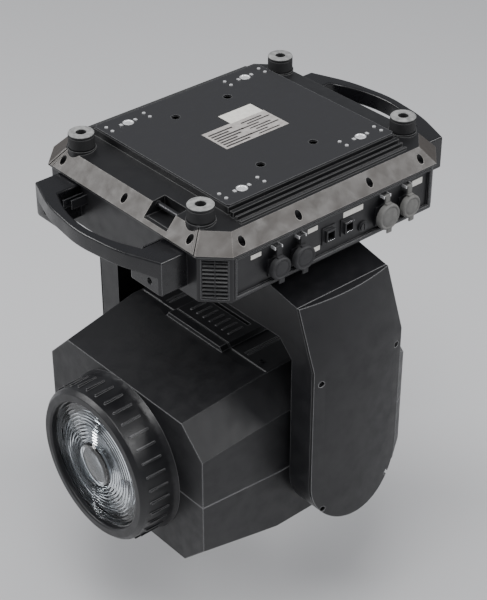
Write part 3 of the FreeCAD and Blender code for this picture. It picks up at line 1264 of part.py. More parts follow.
def make_head_covers():
    """Two half shells that meet at the tilt axis, open round the trunnions and the nose."""
    far = "(head_half_height + spine_rise + 20)"
    for name, sign in (("head_cover_upper", 1), ("head_cover_lower", -1)):
        outer = lofted(f"{name}_outer", "YZ", head_sections("0"))
        inner = lofted(f"{name}_inner", "YZ", head_sections("head_wall"))
        solid = fuse(f"{name}_solid", [outer, spine(f"{name}_spine", sign)])
        low_z, high_z = upward(sign, "seam / 2", far)
        half = box(f"{name}_half", ("-head_front - 1", f"-{HEAD_HALF_Y} - 1", low_z),
                   ("head_rear + 1", f"{HEAD_HALF_Y} + 1", high_z))
        kept = common(f"{name}_kept", solid, half)
        tools = [inner]
        tools.append(rod(f"{name}_trunnions", "y", f"-{HEAD_HALF_Y} - 1", f"{HEAD_HALF_Y} + 1",
                         ("0", TILT_Z),
                         "trunnion_radius + 4"))
        tools.append(rod(f"{name}_mouth", "x", "-head_front - 5", "-head_front + 10", ("0", TILT_Z),
                         "bezel_radius - 3"))
        # outlet slots in the rear wall
        for index in range(5):
            low_z, high_z = upward(sign, f"(9 + 14 * {index})", f"(15 + 14 * {index})")
            tools.append(box(f"{name}_outlet{index}", ("head_rear - 12", "-outlet_half_width", low_z),
                             ("head_rear + 1", "outlet_half_width", high_z)))
        # inlet slots across the spine
        low_z, high_z = upward(sign, "(head_half_height - 9)", far)
        for index in range(9):
            start = f"-inlet_start + inlet_pitch * {index}"
            tools.append(box(f"{name}_inlet{index}", (start, "-spine_half_width + 14", low_z),
                             (f"{start} + 6", "spine_half_width - 14", high_z)))
        for index, spot in enumerate(HEAD_SCREWS):
            tools.append(rod(f"{name}_screw_way{index}", "z", *upward(sign, "0", far), spot,
                             "screw_radius + screw_clearance"))
        keep(name, cut(name, kept, tools))


def make_head_screws():
    """Screws that hold the covers; their heads stand on the flat of each cover."""
    screws = []
    for sign in (-1, 1):
        seat = f"{TILT_Z} + {sign} * head_half_height"
        for index, spot in enumerate(HEAD_SCREWS):
            screws.append(screw(f"head_screw{sign + 1}{index}", "z", seat, sign, spot, "8"))
    keep("head_screws", group("head_screws", screws))


def make_front():
    """The round nose: a stepped bezel ring with the front lens behind its lip."""
    tip = "-head_front - bezel_reach"
    seat = f"{tip} + 12"
    outline = [("-head_front + 6", "bezel_radius - 4"), ("-head_front + 6", "lens_radius - 4"),
               (seat, "lens_radius - 4"), (seat, "lens_radius + 0.1"), (f"{tip} + 2", "lens_radius + 0.1"),
               (tip, "lens_radius + 3"), (tip, "bezel_radius - 8"), (f"{tip} + 6", "bezel_radius - 2"),
               ("-head_front - 10", "bezel_radius"), ("-head_front", "bezel_radius + 5"),
               ("-head_front", "bezel_radius - 4")]
    bezel = turned("front_bezel", "XZ", outline, "H_Axis")
    place(bezel, ("0", "0", TILT_Z))
    keep("front_bezel", bezel)
    glass = [(seat, "0"), (f"{seat} - lens_thick", "0"),
             (f"{seat} - lens_thick * 0.85", "lens_radius * 0.45"),
             (f"{seat} - lens_thick * 0.5", "lens_radius * 0.82"), (f"{seat} - 2", "lens_radius"),
             (seat, "lens_radius")]
    lens = turned("front_lens", "XZ", glass, "H_Axis")
    place(lens, ("0", "0", TILT_Z))
    keep("front_lens", lens)


MID_BACK = "-mid_plate_x + frame_plate"
WHEEL_LOW = f"{MID_BACK} + 6"
WHEEL_CENTRE = ("0", f"{TILT_Z} - filter_ring_radius")
RAIL_ENDS = ("-head_front + 14", MID_BACK)


def make_head_frame():
    """The chassis: two side plates, three cross plates and the trunnions that carry the head."""
    low_z, high_z = (f"{TILT_Z} - frame_half_height", f"{TILT_Z} + frame_half_height")
    axis = ("0", TILT_Z)
    solids = []
    for sign in (-1, 1):
        low, high = outward(sign, f"{FRAME_HALF_Y} - frame_plate", FRAME_HALF_Y)
        solids.append(box(f"side_plate{sign + 1}", ("-head_front + 14", low, low_z),
                          ("rear_plate_x + frame_plate", high, high_z)))
        reach = "arm_inner + 8 + tilt_pulley_width" if sign > 0 else "arm_inner + 8"
        solids.append(rod(f"trunnion{sign + 1}", "y", *outward(sign, FRAME_HALF_Y, reach), axis,
                          "trunnion_radius"))
        solids.append(rod(f"trunnion_flange{sign + 1}", "y",
                          *outward(sign, FRAME_HALF_Y, f"{FRAME_HALF_Y} + 8"),
                          axis, "trunnion_radius + trunnion_flange"))
    for name, x in (("front", "-head_front + 14"), ("middle", "-mid_plate_x"), ("rear", "rear_plate_x")):
        solids.append(box(f"{name}_plate", (x, neg(FRAME_HALF_Y), low_z),
                          (f"{x} + frame_plate", FRAME_HALF_Y, high_z)))
    chassis = fuse("chassis", solids)
    window = "(engine_half + 4)"
    tools = [rod("light_way", "x", "-head_front", f"{MID_BACK} + 6", axis, "zoom_lens_radius + 8"),
             rod("cable_bore", "y", "-arm_inner - 60", "arm_inner + 60", axis, "trunnion_bore_radius"),
             box("rear_window", ("rear_plate_x - 1", neg(window), f"{TILT_Z} - {window}"),
                 ("rear_plate_x + frame_plate + 1", window, f"{TILT_Z} + {window}"))]
    rails = []
    for side in (-1, 1):
        spot = (f"{side} * {RAIL_Y}", TILT_Z)
        tools.append(rod(f"rail_bore{side + 1}", "x", "-head_front", f"{MID_BACK} + 6", spot,
                         "rail_radius"))
        rails.append(rod(f"rail{side + 1}", "x", *RAIL_ENDS, spot, "rail_radius"))
    drilled = cut("chassis_drilled", chassis, tools)
    pin = rod("wheel_pin", "x", "-mid_plate_x", f"{WHEEL_LOW} + 5", WHEEL_CENTRE, "wheel_pin_radius")
    collar = rod("wheel_pin_collar", "x", MID_BACK, f"{WHEEL_LOW} - 0.5", WHEEL_CENTRE,
                 "wheel_pin_radius + 4")
    keep("head_frame", fuse("head_frame", [drilled, pin, collar]))
    keep("guide_rails", group("guide_rails", rails))


def make_optics():
    """The light engine, the colour wheel and the zoom carriage with its lens."""
    axis = ("0", TILT_Z)
    engine = box("engine_block", ("rear_plate_x - 34", "-engine_half", f"{TILT_Z} - engine_half"),
                 ("rear_plate_x + frame_plate", "engine_half", f"{TILT_Z} + engine_half"))
    hood = rod("engine_hood", "x", "rear_plate_x - 66", "rear_plate_x - 34", axis, "hood_radius")
    dish = rod("engine_dish", "x", "rear_plate_x - 67", "rear_plate_x - 52", axis, "hood_radius - 6")
    keep("light_engine", cut("light_engine", fuse("engine_solid", [engine, hood]), [dish]))
    # the wheel turns on a pin from the middle plate and its filters cross the light path
    disc = rod("wheel_disc", "x", WHEEL_LOW, f"{WHEEL_LOW} + 2", WHEEL_CENTRE, "wheel_radius")
    holes = [rod("wheel_hole", "x", f"{WHEEL_LOW} - 1", f"{WHEEL_LOW} + 3", WHEEL_CENTRE,
                 "wheel_pin_radius + running_gap")]
    for index in range(8):
        angle = 45 * index + 90
        spot = (f"filter_ring_radius * cos({angle})",
                f"{WHEEL_CENTRE[1]} + filter_ring_radius * sin({angle})")
        holes.append(rod(f"filter_hole{index}", "x", f"{WHEEL_LOW} - 1", f"{WHEEL_LOW} + 3", spot,
                         "filter_radius"))
    keep("colour_wheel", cut("colour_wheel", disc, holes))
    # the zoom lens rides between two sleeves that run on the rails
    middle = "-(head_front + mid_plate_x) / 2 + 8"
    ring = rod("zoom_ring", "x", f"{middle} - 6", f"{middle} + 6", axis, "zoom_lens_radius + 6")
    bar = box("zoom_bar", (f"{middle} - 3", neg(RAIL_Y), f"{TILT_Z} - sleeve_radius"),
              (f"{middle} + 3", RAIL_Y, f"{TILT_Z} + sleeve_radius"))
    solids = [ring, bar]
    bores = [rod("zoom_seat", "x", f"{middle} - 7", f"{middle} + 7", axis, "zoom_lens_radius")]
    for side in (-1, 1):
        spot = (f"{side} * {RAIL_Y}", TILT_Z)
        solids.append(rod(f"zoom_sleeve{side + 1}", "x", f"{middle} - 12", f"{middle} + 12", spot,
                          "sleeve_radius"))
        bores.append(rod(f"zoom_bore{side + 1}", "x", f"{middle} - 13", f"{middle} + 13", spot,
                         "rail_radius + running_gap"))
    keep("zoom_carriage", cut("zoom_carriage", fuse("zoom_solid", solids), bores))
    keep("zoom_lens", rod("zoom_lens", "x", f"{middle} - 5", f"{middle} + 5", axis, "zoom_lens_radius"))


def make_cooling():
    """The finned heat sink behind the light engine and the fan behind that."""
    base_x = "rear_plate_x + frame_plate"
    sink_x = f"{base_x} + sink_plate"
    low_z, high_z = (f"{TILT_Z} - sink_half_height", f"{TILT_Z} + sink_half_height")
    fins = [box("sink_plate_block", (base_x, "-sink_half_width", low_z),
                (sink_x, "sink_half_width", high_z))]
    for index in range(int(amount("fin_count"))):
        y = f"-sink_half_width + (2 * sink_half_width - fin_thick) * {index} / (fin_count - 1)"
        fins.append(box(f"sink_fin{index}", (sink_x, y, low_z),
                        (f"{base_x} + fin_depth", f"{y} + fin_thick", high_z)))
    keep("heat_sink", fuse("heat_sink", fins))
    low = f"{base_x} + fin_depth + 1"
    high = f"{low} + fan_width"
    axis = ("0", TILT_Z)
    half = "(fan_radius + 5)"
    case = box("fan_case", (low, neg(half), f"{TILT_Z} - {half}"), (high, half, f"{TILT_Z} + {half}"))
    duct = rod("fan_duct", "x", f"{low} - 1", f"{high} + 1", axis, "fan_radius + 2")
    reach = "(fan_radius + 3)"
    solids = [cut("fan_ring", case, [duct]),
              rod("fan_pin", "x", low, f"{low} + 15", axis, "fan_pin_radius")]
    for name, half_y, half_z in (("level", reach, "3"), ("upright", "3", reach)):
        solids.append(box(f"fan_spoke_{name}", (low, neg(half_y), f"{TILT_Z} - {half_z}"),
                          (f"{low} + 3", half_y, f"{TILT_Z} + {half_z}")))
    keep("fan_frame", fuse("fan_frame", solids))
    blades = [rod("fan_hub", "x", f"{low} + 4", f"{high} - 2", axis, "fan_hub_radius")]
    root = amount("fan_hub_radius - 3")
    for index in range(7):
        blade = doc.addObject("Part::Box", f"fan_blade{index}")
        blade.setExpression("Length", bound("fan_width - 9"))
        blade.Width = 3
        blade.setExpression("Height", bound("fan_radius - fan_hub_radius + 3"))
        lean = Rotation(Vector(0, 0, 1), amount("blade_lean"))
        around = Rotation(Vector(1, 0, 0), 360 * index / 7)
        blade.Placement = Placement(Vector(), around.multiply(lean))
        start = around.multVec(Vector(0, -6, root))
        place(blade, (f"{low} + 6", f"{start.y}", f"{TILT_Z} + {start.z}"))
        blades.append(blade)
    hole = rod("fan_hub_hole", "x", f"{low} + 3", f"{low} + 16", axis, "fan_pin_radius + running_gap")
    keep("fan_rotor", cut("fan_rotor", fuse("fan_rotor_solid", blades), [hole]))


# ---------------------------------------------------------------- build, check and write

def main():
    make_skirt_frame()
    make_base_housing()
    make_corner_vents()
    make_underside_plate()
    make_feet()
    make_handle("handle_front", -1)
    make_handle("handle_rear", 1)
    make_base_screws()
    make_connector_panel()
    make_round_sockets()
    make_network_sockets()
    make_caps()
    make_display()
    make_pan_drive()
    make_yoke_frame()
    make_lock("pan_lock", "pan_lock_y", PAN_LOCK_Z)
    make_lock("tilt_lock", TILT_LOCK_Y, TILT_LOCK_Z)
    make_arm_cover("arm_cover_left", -1)
    make_arm_cover("arm_cover_right", 1)
    make_yoke_screws()
    make_tilt_drive()
    make_head_covers()
    make_head_screws()
    make_front()
    make_head_frame()
    make_optics()
    make_cooling()
    doc.recompute()
    faults = [f"{item.Label}: {item.State}" for item in doc.Objects
              if {"Invalid", "Error"} & set(item.State)]
    for item in NODES:
        if item.Shape.isNull() or not item.Shape.isValid() or not item.Shape.Solids:
            faults.append(f"{item.Label}: bad shape")
    if faults:
        raise RuntimeError("; ".join(faults))
    os.makedirs("parts", exist_ok=True)
    for item in NODES:
        item.Shape.exportStep(f"parts/{item.Label}.step")
    print(len(NODES), "nodes written")


main()
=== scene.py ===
import json
import math
from contextlib import contextmanager

import bmesh
import bpy
from mathutils import Matrix, Vector


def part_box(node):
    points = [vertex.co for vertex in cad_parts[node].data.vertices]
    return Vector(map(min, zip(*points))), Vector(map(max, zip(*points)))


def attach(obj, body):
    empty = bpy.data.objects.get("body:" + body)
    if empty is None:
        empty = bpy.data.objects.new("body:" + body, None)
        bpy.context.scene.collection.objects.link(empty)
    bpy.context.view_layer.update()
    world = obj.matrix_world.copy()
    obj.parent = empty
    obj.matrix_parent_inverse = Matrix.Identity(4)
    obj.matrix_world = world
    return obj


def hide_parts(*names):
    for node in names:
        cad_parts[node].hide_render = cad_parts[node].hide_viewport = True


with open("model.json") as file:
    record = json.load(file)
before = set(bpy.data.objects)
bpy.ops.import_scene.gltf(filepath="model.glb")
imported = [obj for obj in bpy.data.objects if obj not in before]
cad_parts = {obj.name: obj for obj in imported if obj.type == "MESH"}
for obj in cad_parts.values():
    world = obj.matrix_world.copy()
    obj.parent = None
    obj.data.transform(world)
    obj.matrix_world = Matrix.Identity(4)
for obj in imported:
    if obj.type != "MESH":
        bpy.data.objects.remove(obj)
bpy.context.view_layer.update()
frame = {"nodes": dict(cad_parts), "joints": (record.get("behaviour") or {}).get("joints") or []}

# The looks of a moving head stage light that hangs base up. Lengths are metres, in the frame
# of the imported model: +Z leaves the underside plate, -Y is the connector side, the lens looks
# along -X. MM turns the maker's millimetres into metres.

MM = 0.001

SKIRT_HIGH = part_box("skirt_frame")[1]
HOUSING_LOW, HOUSING_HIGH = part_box("base_housing")
PLATE_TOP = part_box("underside_plate")[1].z
YOKE_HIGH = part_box("yoke_frame")[1]
TILT_AXIS = next(joint["pos_m"] for joint in frame["joints"] if joint["name"] == "tilt")

SKIRT_INSET = 21 * MM            # how far the painted band leans in
SKIRT_TOP = -17.5 * MM           # the band's high edge
SKIRT_LIP = -40.5 * MM           # and its low edge
CORNER_CUT = 34 * MM             # the cut corner along the band's low edge
CORNER_TOP = 27.9 * MM           # and along its high edge
SMOOTH_ANGLE = math.radians(35)


# ---------------------------------------------------------------- hands

def take(piece):
    """Make a piece the only selected one, and the active one."""
    bpy.ops.object.select_all(action="DESELECT")
    piece.select_set(True)
    bpy.context.view_layer.objects.active = piece


@contextmanager
def editing(piece, select="SELECT", mode="VERT"):
    """Open a piece in edit mode with everything, or nothing, selected."""
    take(piece)
    bpy.ops.object.mode_set(mode="EDIT")
    bpy.ops.mesh.select_mode(type=mode)
    bpy.ops.mesh.select_all(action=select)
    yield bmesh.from_edit_mesh(piece.data)
    bpy.ops.object.mode_set(mode="OBJECT")


def settle(piece):
    """Put the object's place into its mesh."""
    take(piece)
    bpy.ops.object.transform_apply(location=True, rotation=True, scale=True)
    return piece


def modify(piece, kind, **settings):
    """Put a modifier on a piece and apply it."""
    take(piece)
    step = piece.modifiers.new(kind.title(), kind)
    for name, value in settings.items():
        setattr(step, name, value)
    bpy.ops.object.modifier_apply(modifier=step.name)
    return piece


def smooth(piece):
    """Shade smooth, with normals that stay true on the large flat faces."""
    take(piece)
    bpy.ops.object.shade_smooth_by_angle(angle=SMOOTH_ANGLE)
    return modify(piece, "WEIGHTED_NORMAL", keep_sharp=True, weight=100, mode="FACE_AREA")


def soften(piece, width, segments=2, angle=30):
    """Round every sharp edge a little and shade the rest smooth."""
    modify(piece, "BEVEL", width=width, segments=segments, limit_method="ANGLE",
           angle_limit=math.radians(angle), use_clamp_overlap=True)
    return smooth(piece)


def round_edges(piece, width, segments, chosen, angle=25):
    """Bevel the sharp edges that chosen(middle, direction, length) picks; angle is in degrees."""
    with editing(piece, "DESELECT", "EDGE") as work:
        for edge in work.edges:
            if len(edge.link_faces) != 2 or edge.calc_face_angle(0) < math.radians(angle):
                continue
            first, last = (vertex.co for vertex in edge.verts)
            run = last - first
            if run.length and chosen((first + last) / 2, run.normalized(), run.length):
                edge.select_set(True)
        bmesh.update_edit_mesh(piece.data)
        bpy.ops.mesh.bevel(offset=width, segments=segments, affect="EDGES", clamp_overlap=True)
    return piece


def copied(node, name):
    """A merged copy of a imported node's mesh, ready to be worked on."""
    piece = bpy.data.objects.new(name, frame["nodes"][node].data.copy())
    bpy.context.scene.collection.objects.link(piece)
    piece.data.materials.clear()
    take(piece)
    bpy.ops.mesh.customdata_custom_splitnormals_clear()
    with editing(piece):
        bpy.ops.mesh.remove_doubles(threshold=0.01 * MM)
        bpy.ops.mesh.dissolve_limited(angle_limit=math.radians(1))
    return piece


def block(name, low, high, width=0.0, segments=2):
    """A block between two corners, its edges rounded."""
    low, high = Vector(low), Vector(high)
    bpy.ops.object.select_all(action="DESELECT")
    bpy.ops.mesh.primitive_cube_add(size=1, location=(low + high) / 2, scale=high - low)
    piece = settle(bpy.context.object)
    piece.name = name
    if width:
        soften(piece, width, segments)
    return piece


# turns that lay a piece drawn along +Z along another axis
TURNS = {"x": (0, math.pi / 2, 0), "-x": (0, -math.pi / 2, 0), "y": (-math.pi / 2, 0, 0),
         "-y": (math.pi / 2, 0, 0), "z": (0, 0, 0), "-z": (math.pi, 0, 0)}


def turned(name, axis, centre, rings, sides=48):
    """A round piece drawn out ring by ring; each ring is a radius and a place along the axis."""
    bpy.ops.object.select_all(action="DESELECT")
    radius, place = rings[0]
    bpy.ops.mesh.primitive_circle_add(vertices=sides, radius=radius, fill_type="NGON",
                                      location=(0, 0, place))
    piece = settle(bpy.context.object)
    piece.name = name
    with editing(piece, "SELECT", "FACE"):
        for next_radius, next_place in rings[1:]:
            step = (0, 0, next_place - place)
            bpy.ops.mesh.extrude_region_move(TRANSFORM_OT_translate={"value": step})
            share = next_radius / radius
            bpy.ops.transform.resize(value=(share, share, share), center_override=(0, 0, next_place))
            radius, place = next_radius, next_place
        bpy.ops.mesh.select_all(action="SELECT")
        bpy.ops.mesh.normals_make_consistent(inside=False)
    piece.rotation_euler = TURNS[axis]
    piece.location = centre
    settle(piece)
    bpy.ops.object.shade_smooth_by_angle(angle=SMOOTH_ANGLE)
    return piece


def joined(name, pieces):
    """Several pieces made one, under a new name."""
    bpy.ops.object.select_all(action="DESELECT")
    for piece in pieces:
        piece.select_set(True)
    bpy.context.view_layer.objects.active = pieces[0]
    if len(pieces) > 1:
        bpy.ops.object.join()
    pieces[0].name = name
    return pieces[0]


def carve(piece, tools):
    """Cut tools out of a piece and throw the tools away."""
    tool = joined("tool", tools)
    modify(piece, "BOOLEAN", operation="DIFFERENCE", solver="EXACT", object=tool)
    bpy.data.objects.remove(tool)
    return piece


def paint(piece, *finishes):
    for finish in finishes:
        piece.data.materials.append(finish)
    return piece


def paint_faces(piece, index, chosen):
    """Give the faces that chosen(middle, normal) picks the finish of that index."""
    for face in piece.data.polygons:
        if chosen(face.center, face.normal):
            face.material_index = index


def fit(piece, body, slot, *nodes):
    """Hang a finished piece on its body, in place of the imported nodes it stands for."""
    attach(piece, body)
    if nodes:
        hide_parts(*nodes)
    return piece


# ---------------------------------------------------------------- finishes

class Finish:
    """A material with one shader and patterns on the piece's own coordinates."""

    def __init__(self, name, colour, roughness, metallic=0.0, **sockets):
        self.material = bpy.data.materials.new(name)
        self.material.use_nodes = True
        self.tree = self.material.node_tree
        self.shader = self.tree.nodes["Principled BSDF"]
        self.colour = colour
        self.shader.inputs["Base Color"].default_value = (*colour, 1)
        self.shader.inputs["Roughness"].default_value = roughness
        self.shader.inputs["Metallic"].default_value = metallic
        for socket, value in sockets.items():
            self.shader.inputs[socket.replace("_", " ")].default_value = value
        self.where = self.tree.nodes.new("ShaderNodeTexCoord").outputs["Object"]

    def link(self, source, target):
        self.tree.links.new(source, target)

    def stretched(self, scale):
        """The coordinates stretched along an axis, for brushed and drawn marks."""
        mapping = self.tree.nodes.new("ShaderNodeMapping")
        mapping.inputs["Scale"].default_value = scale
        self.link(self.where, mapping.inputs["Vector"])
        return mapping.outputs["Vector"]

    def noise(self, scale, detail=3.0, along=None):
        texture = self.tree.nodes.new("ShaderNodeTexNoise")
        texture.inputs["Scale"].default_value = scale
        texture.inputs["Detail"].default_value = detail
        self.link(along or self.where, texture.inputs["Vector"])
        return texture.outputs["Fac"]

    def cells(self, scale):
        texture = self.tree.nodes.new("ShaderNodeTexVoronoi")
        texture.inputs["Scale"].default_value = scale
        self.link(self.where, texture.inputs["Vector"])
        return texture.outputs["Distance"]

    def spread(self, source, low, high, start=0.3, end=0.7):
        """A pattern between start and end turned into a number between low and high."""
        node = self.tree.nodes.new("ShaderNodeMapRange")
        settings = {"From Min": start, "From Max": end, "To Min": low, "To Max": high}
        for socket, value in settings.items():
            node.inputs[socket].default_value = value
        self.link(source, node.inputs["Value"])
        return node.outputs["Result"]

    def mixed(self, share, first, second):
        """Two colours, or a colour and a pattern, mixed by a share."""
        node = self.tree.nodes.new("ShaderNodeMix")
        node.data_type = "RGBA"
        self.link(share, node.inputs["Factor"])
        colour_a, colour_b = [socket for socket in node.inputs if socket.type == "RGBA"]
        for socket, value in ((colour_a, first), (colour_b, second)):
            if isinstance(value, tuple):
                socket.default_value = (*value, 1)
            else:
                self.link(value, socket)
        return next(socket for socket in node.outputs if socket.type == "RGBA")

    def edges(self, radius, start, end):
        """A mask of the edges, for edge wear and a painted highlight along them."""
        nodes = self.tree.nodes
        bevel = nodes.new("ShaderNodeBevel")
        bevel.samples = 6
        bevel.inputs["Radius"].default_value = radius
        flat = nodes.new("ShaderNodeNewGeometry").outputs["Normal"]
        dot = nodes.new("ShaderNodeVectorMath")
        dot.operation = "DOT_PRODUCT"
        self.link(bevel.outputs["Normal"], dot.inputs[0])
        self.link(flat, dot.inputs[1])
        return self.spread(dot.outputs["Value"], 1.0, 0.0, start, end)

    def tint(self, source):
        self.link(source, self.shader.inputs["Base Color"])
        return self

    def gloss(self, source):
        self.link(source, self.shader.inputs["Roughness"])
        return self

    def relief(self, source, depth, strength=1.0):
        bump = self.tree.nodes.new("ShaderNodeBump")
        bump.inputs["Strength"].default_value = strength
        bump.inputs["Distance"].default_value = depth
        self.link(source, bump.inputs["Height"])
        self.link(bump.outputs["Normal"], self.shader.inputs["Normal"])
        return self


def shade(colour, factor):
    return tuple(channel * factor for channel in colour)


def coated(name, colour, roughness, grain, depth, edge_wear_and_highlight, **sockets):
    """Paint or moulded plastic: a fine grain, patchy gloss and paler edges, part wear and part painted
    highlight.
    """
    made = Finish(name, colour, roughness, **sockets)
    patches = made.noise(14, 4)
    body = made.mixed(made.spread(patches, 0, 1), shade(colour, 0.92), shade(colour, 1.08))
    if edge_wear_and_highlight:
        # edges made paler for wear and for a painted highlight
        edge_wear_and_highlight_mask = made.edges(1.6 * MM, 0.90, 0.99)
        body = made.mixed(edge_wear_and_highlight_mask, body, edge_wear_and_highlight)
    made.tint(body)
    made.gloss(made.spread(made.noise(55, 5), roughness - 0.07, roughness + 0.09))
    made.relief(made.noise(grain, 2), depth)
    return made.material


# In each coated finish below, the last colour is the edge colour: edge wear and a painted highlight.
def black_casting():
    return coated("black_casting", (0.008, 0.008, 0.0095), 0.36, 1500, 0.10 * MM, (0.20, 0.20, 0.205))


# The band's paler grey is a painted reflection: the band is glossy black, and this grey stands in for the
# overhead light on it.
def skirt_paint():
    return coated("skirt_paint", (0.046, 0.039, 0.034), 0.44, 1700, 0.08 * MM, (0.24, 0.22, 0.205))


def ledge_paint():
    return coated("ledge_paint", (0.009, 0.009, 0.010), 0.40, 1500, 0.08 * MM, (0.14, 0.14, 0.14))


def plate_paint():
    """Satin sheet with long faint scratches, and paler edges: part wear, part painted highlight."""
    made = Finish("plate_paint", (0.022, 0.022, 0.024), 0.42)
    scratches = made.noise(30, 6, made.stretched((1, 26, 1)))
    marks = made.spread(scratches, 0, 1, 0.64, 0.72)
    body = made.mixed(marks, (0.022, 0.022, 0.024), (0.034, 0.034, 0.036))
    # paler edges: edge wear and a painted highlight
    made.tint(made.mixed(made.edges(1.0 * MM, 0.9, 0.99), body, (0.2, 0.2, 0.205)))
    made.gloss(made.spread(made.noise(40, 5), 0.34, 0.5))
    made.relief(made.noise(1900, 2), 0.06 * MM)
    return made.material


def cover_plastic():
    """Textured moulding, paler along its edges: a painted highlight, with some wear."""
    made = Finish("cover_plastic", (0.010, 0.010, 0.0115), 0.46)
    body = made.mixed(made.spread(made.noise(9, 4), 0, 1), (0.008, 0.008, 0.0095), (0.013, 0.013, 0.0145))
    # paler edges: a painted highlight, with some wear
    made.tint(made.mixed(made.edges(2.4 * MM, 0.90, 0.985), body, (0.24, 0.24, 0.245)))
    made.gloss(made.spread(made.noise(50, 4), 0.40, 0.55))
    made.relief(made.cells(1100), 0.12 * MM, 0.6)
    return made.material


def vent_plastic():
    """The louvres' moulding: matt, and too deep in the wall to wear; its edges get only a faint painted
    highlight.
    """
    return coated("vent_plastic", (0.009, 0.009, 0.0105), 0.5, 1400, 0.06 * MM, (0.035, 0.035, 0.037))


def handle_plastic():
    return coated("handle_plastic", (0.007, 0.007, 0.0085), 0.28, 900, 0.04 * MM, (0.12, 0.12, 0.125))


def foot_rubber():
    made = Finish("foot_rubber", (0.014, 0.014, 0.015), 0.72)
    made.gloss(made.spread(made.noise(90), 0.62, 0.82))
    made.relief(made.noise(1200, 3), 0.15 * MM)
    return made.material


def foot_top_wear_and_reflection():
    """The foot's top: greyed by standing on floors, and paler still as a painted reflection of the light
    above.
    """
    made = Finish("foot_top_wear_and_reflection", (0.26, 0.26, 0.26), 0.55)
    made.tint(made.mixed(made.spread(made.noise(160, 5), 0, 1), (0.17, 0.17, 0.17), (0.34, 0.34, 0.335)))
    made.relief(made.noise(1300, 3), 0.12 * MM)
    return made.material


def cap_rubber(name, colour):
    made = Finish(name, colour, 0.62)
    made.tint(made.mixed(made.spread(made.noise(120, 4), 0, 1), shade(colour, 0.8), shade(colour, 1.15)))
    made.relief(made.noise(1500, 3), 0.08 * MM)
    return made.material


def bright_steel():
    made = Finish("bright_steel", (0.66, 0.66, 0.68), 0.26, 1.0)
    made.gloss(made.spread(made.noise(300, 4), 0.18, 0.36))
    made.relief(made.noise(700, 2), 0.02 * MM)
    return made.material


def zinc():
    """Passivated zinc: paler and duller than bare steel."""
    made = Finish("zinc", (0.80, 0.80, 0.81), 0.42, 0.55)
    made.tint(made.mixed(made.spread(made.noise(260, 4), 0, 1), (0.66, 0.66, 0.67), (0.86, 0.86, 0.87)))
    made.gloss(made.spread(made.noise(500, 3), 0.34, 0.5))
    return made.material


# Near-black for the arm covers' side walls: painted shade in the joint between cover and yoke.
def joint_painted_shade():
    made = Finish("joint_painted_shade", (0.004, 0.004, 0.0045), 0.8)
    made.gloss(made.spread(made.noise(80), 0.72, 0.88))
    return made.material


def black_steel():
    made = Finish("black_steel", (0.035, 0.035, 0.038), 0.36, 0.7)
    made.gloss(made.spread(made.noise(400, 4), 0.26, 0.48))
    return made.material


def milled_aluminium():
    made = Finish("milled_aluminium", (0.7, 0.71, 0.72), 0.34, 1.0)
    lines = made.noise(60, 4, made.stretched((1, 1, 30)))
    made.gloss(made.spread(lines, 0.26, 0.44))
    made.relief(lines, 0.02 * MM)
    return made.material


def socket_plastic():
    made = Finish("socket_plastic", (0.016, 0.016, 0.018), 0.4)
    made.gloss(made.spread(made.noise(200), 0.32, 0.5))
    return made.material


def lens_glass():
    made = Finish("lens_glass", (0.86, 0.91, 0.95), 0.03, Transmission_Weight=1.0, IOR=1.5,
                  Coat_Weight=0.4, Coat_Roughness=0.05)
    made.gloss(made.spread(made.noise(25, 5), 0.02, 0.07))
    return made.material


def screen_glass():
    made = Finish("screen_glass", (0.006, 0.008, 0.011), 0.09)
    made.gloss(made.spread(made.noise(60, 4), 0.06, 0.13))
    return made.material


def screen_light():
    made = Finish("screen_light", (0.35, 0.6, 0.75), 0.3)
    made.tint(made.mixed(made.spread(made.noise(90), 0, 1), (0.25, 0.5, 0.66), (0.45, 0.7, 0.8)))
    made.shader.inputs["Emission Color"].default_value = (0.4, 0.75, 0.95, 1)
    made.shader.inputs["Emission Strength"].default_value = 0.9
    return made.material


def button_plastic():
    made = Finish("button_plastic", (0.07, 0.07, 0.075), 0.45)
    made.gloss(made.spread(made.noise(300), 0.38, 0.55))
    made.relief(made.noise(1600, 2), 0.05 * MM)
    return made.material


def label_film():
    """Silvered plastic film of a rating label."""
    made = Finish("label_film", (0.52, 0.49, 0.47), 0.34, 0.25)
    made.tint(made.mixed(made.spread(made.noise(120, 5), 0, 1), (0.42, 0.39, 0.37), (0.6, 0.57, 0.55)))
    made.gloss(made.spread(made.noise(70, 4), 0.26, 0.45))
    return made.material


def label_ink():
    made = Finish("label_ink", (0.035, 0.032, 0.032), 0.5)
    made.gloss(made.spread(made.noise(200), 0.42, 0.6))
    return made.material


def sticker_paper():
    made = Finish("sticker_paper", (0.74, 0.72, 0.67), 0.55)
    made.tint(made.mixed(made.spread(made.noise(160, 5), 0, 1), (0.66, 0.64, 0.6), (0.8, 0.78, 0.73)))
    made.relief(made.noise(900, 4), 0.03 * MM)
    return made.material


def board_lacquer():
    made = Finish("board_lacquer", (0.015, 0.12, 0.06), 0.35)
    tracks = made.noise(220, 1, made.stretched((1, 1, 6)))
    made.tint(made.mixed(made.spread(tracks, 0, 1, 0.48, 0.52), (0.012, 0.1, 0.05), (0.03, 0.2, 0.1)))
    return made.material


def belt_rubber():
    made = Finish("belt_rubber", (0.012, 0.012, 0.012), 0.7)
    made.relief(made.noise(900, 3), 0.1 * MM)
    return made.material


def fan_plastic():
    made = Finish("fan_plastic", (0.012, 0.012, 0.013), 0.5)
    made.gloss(made.spread(made.noise(120), 0.42, 0.6))
    return made.material


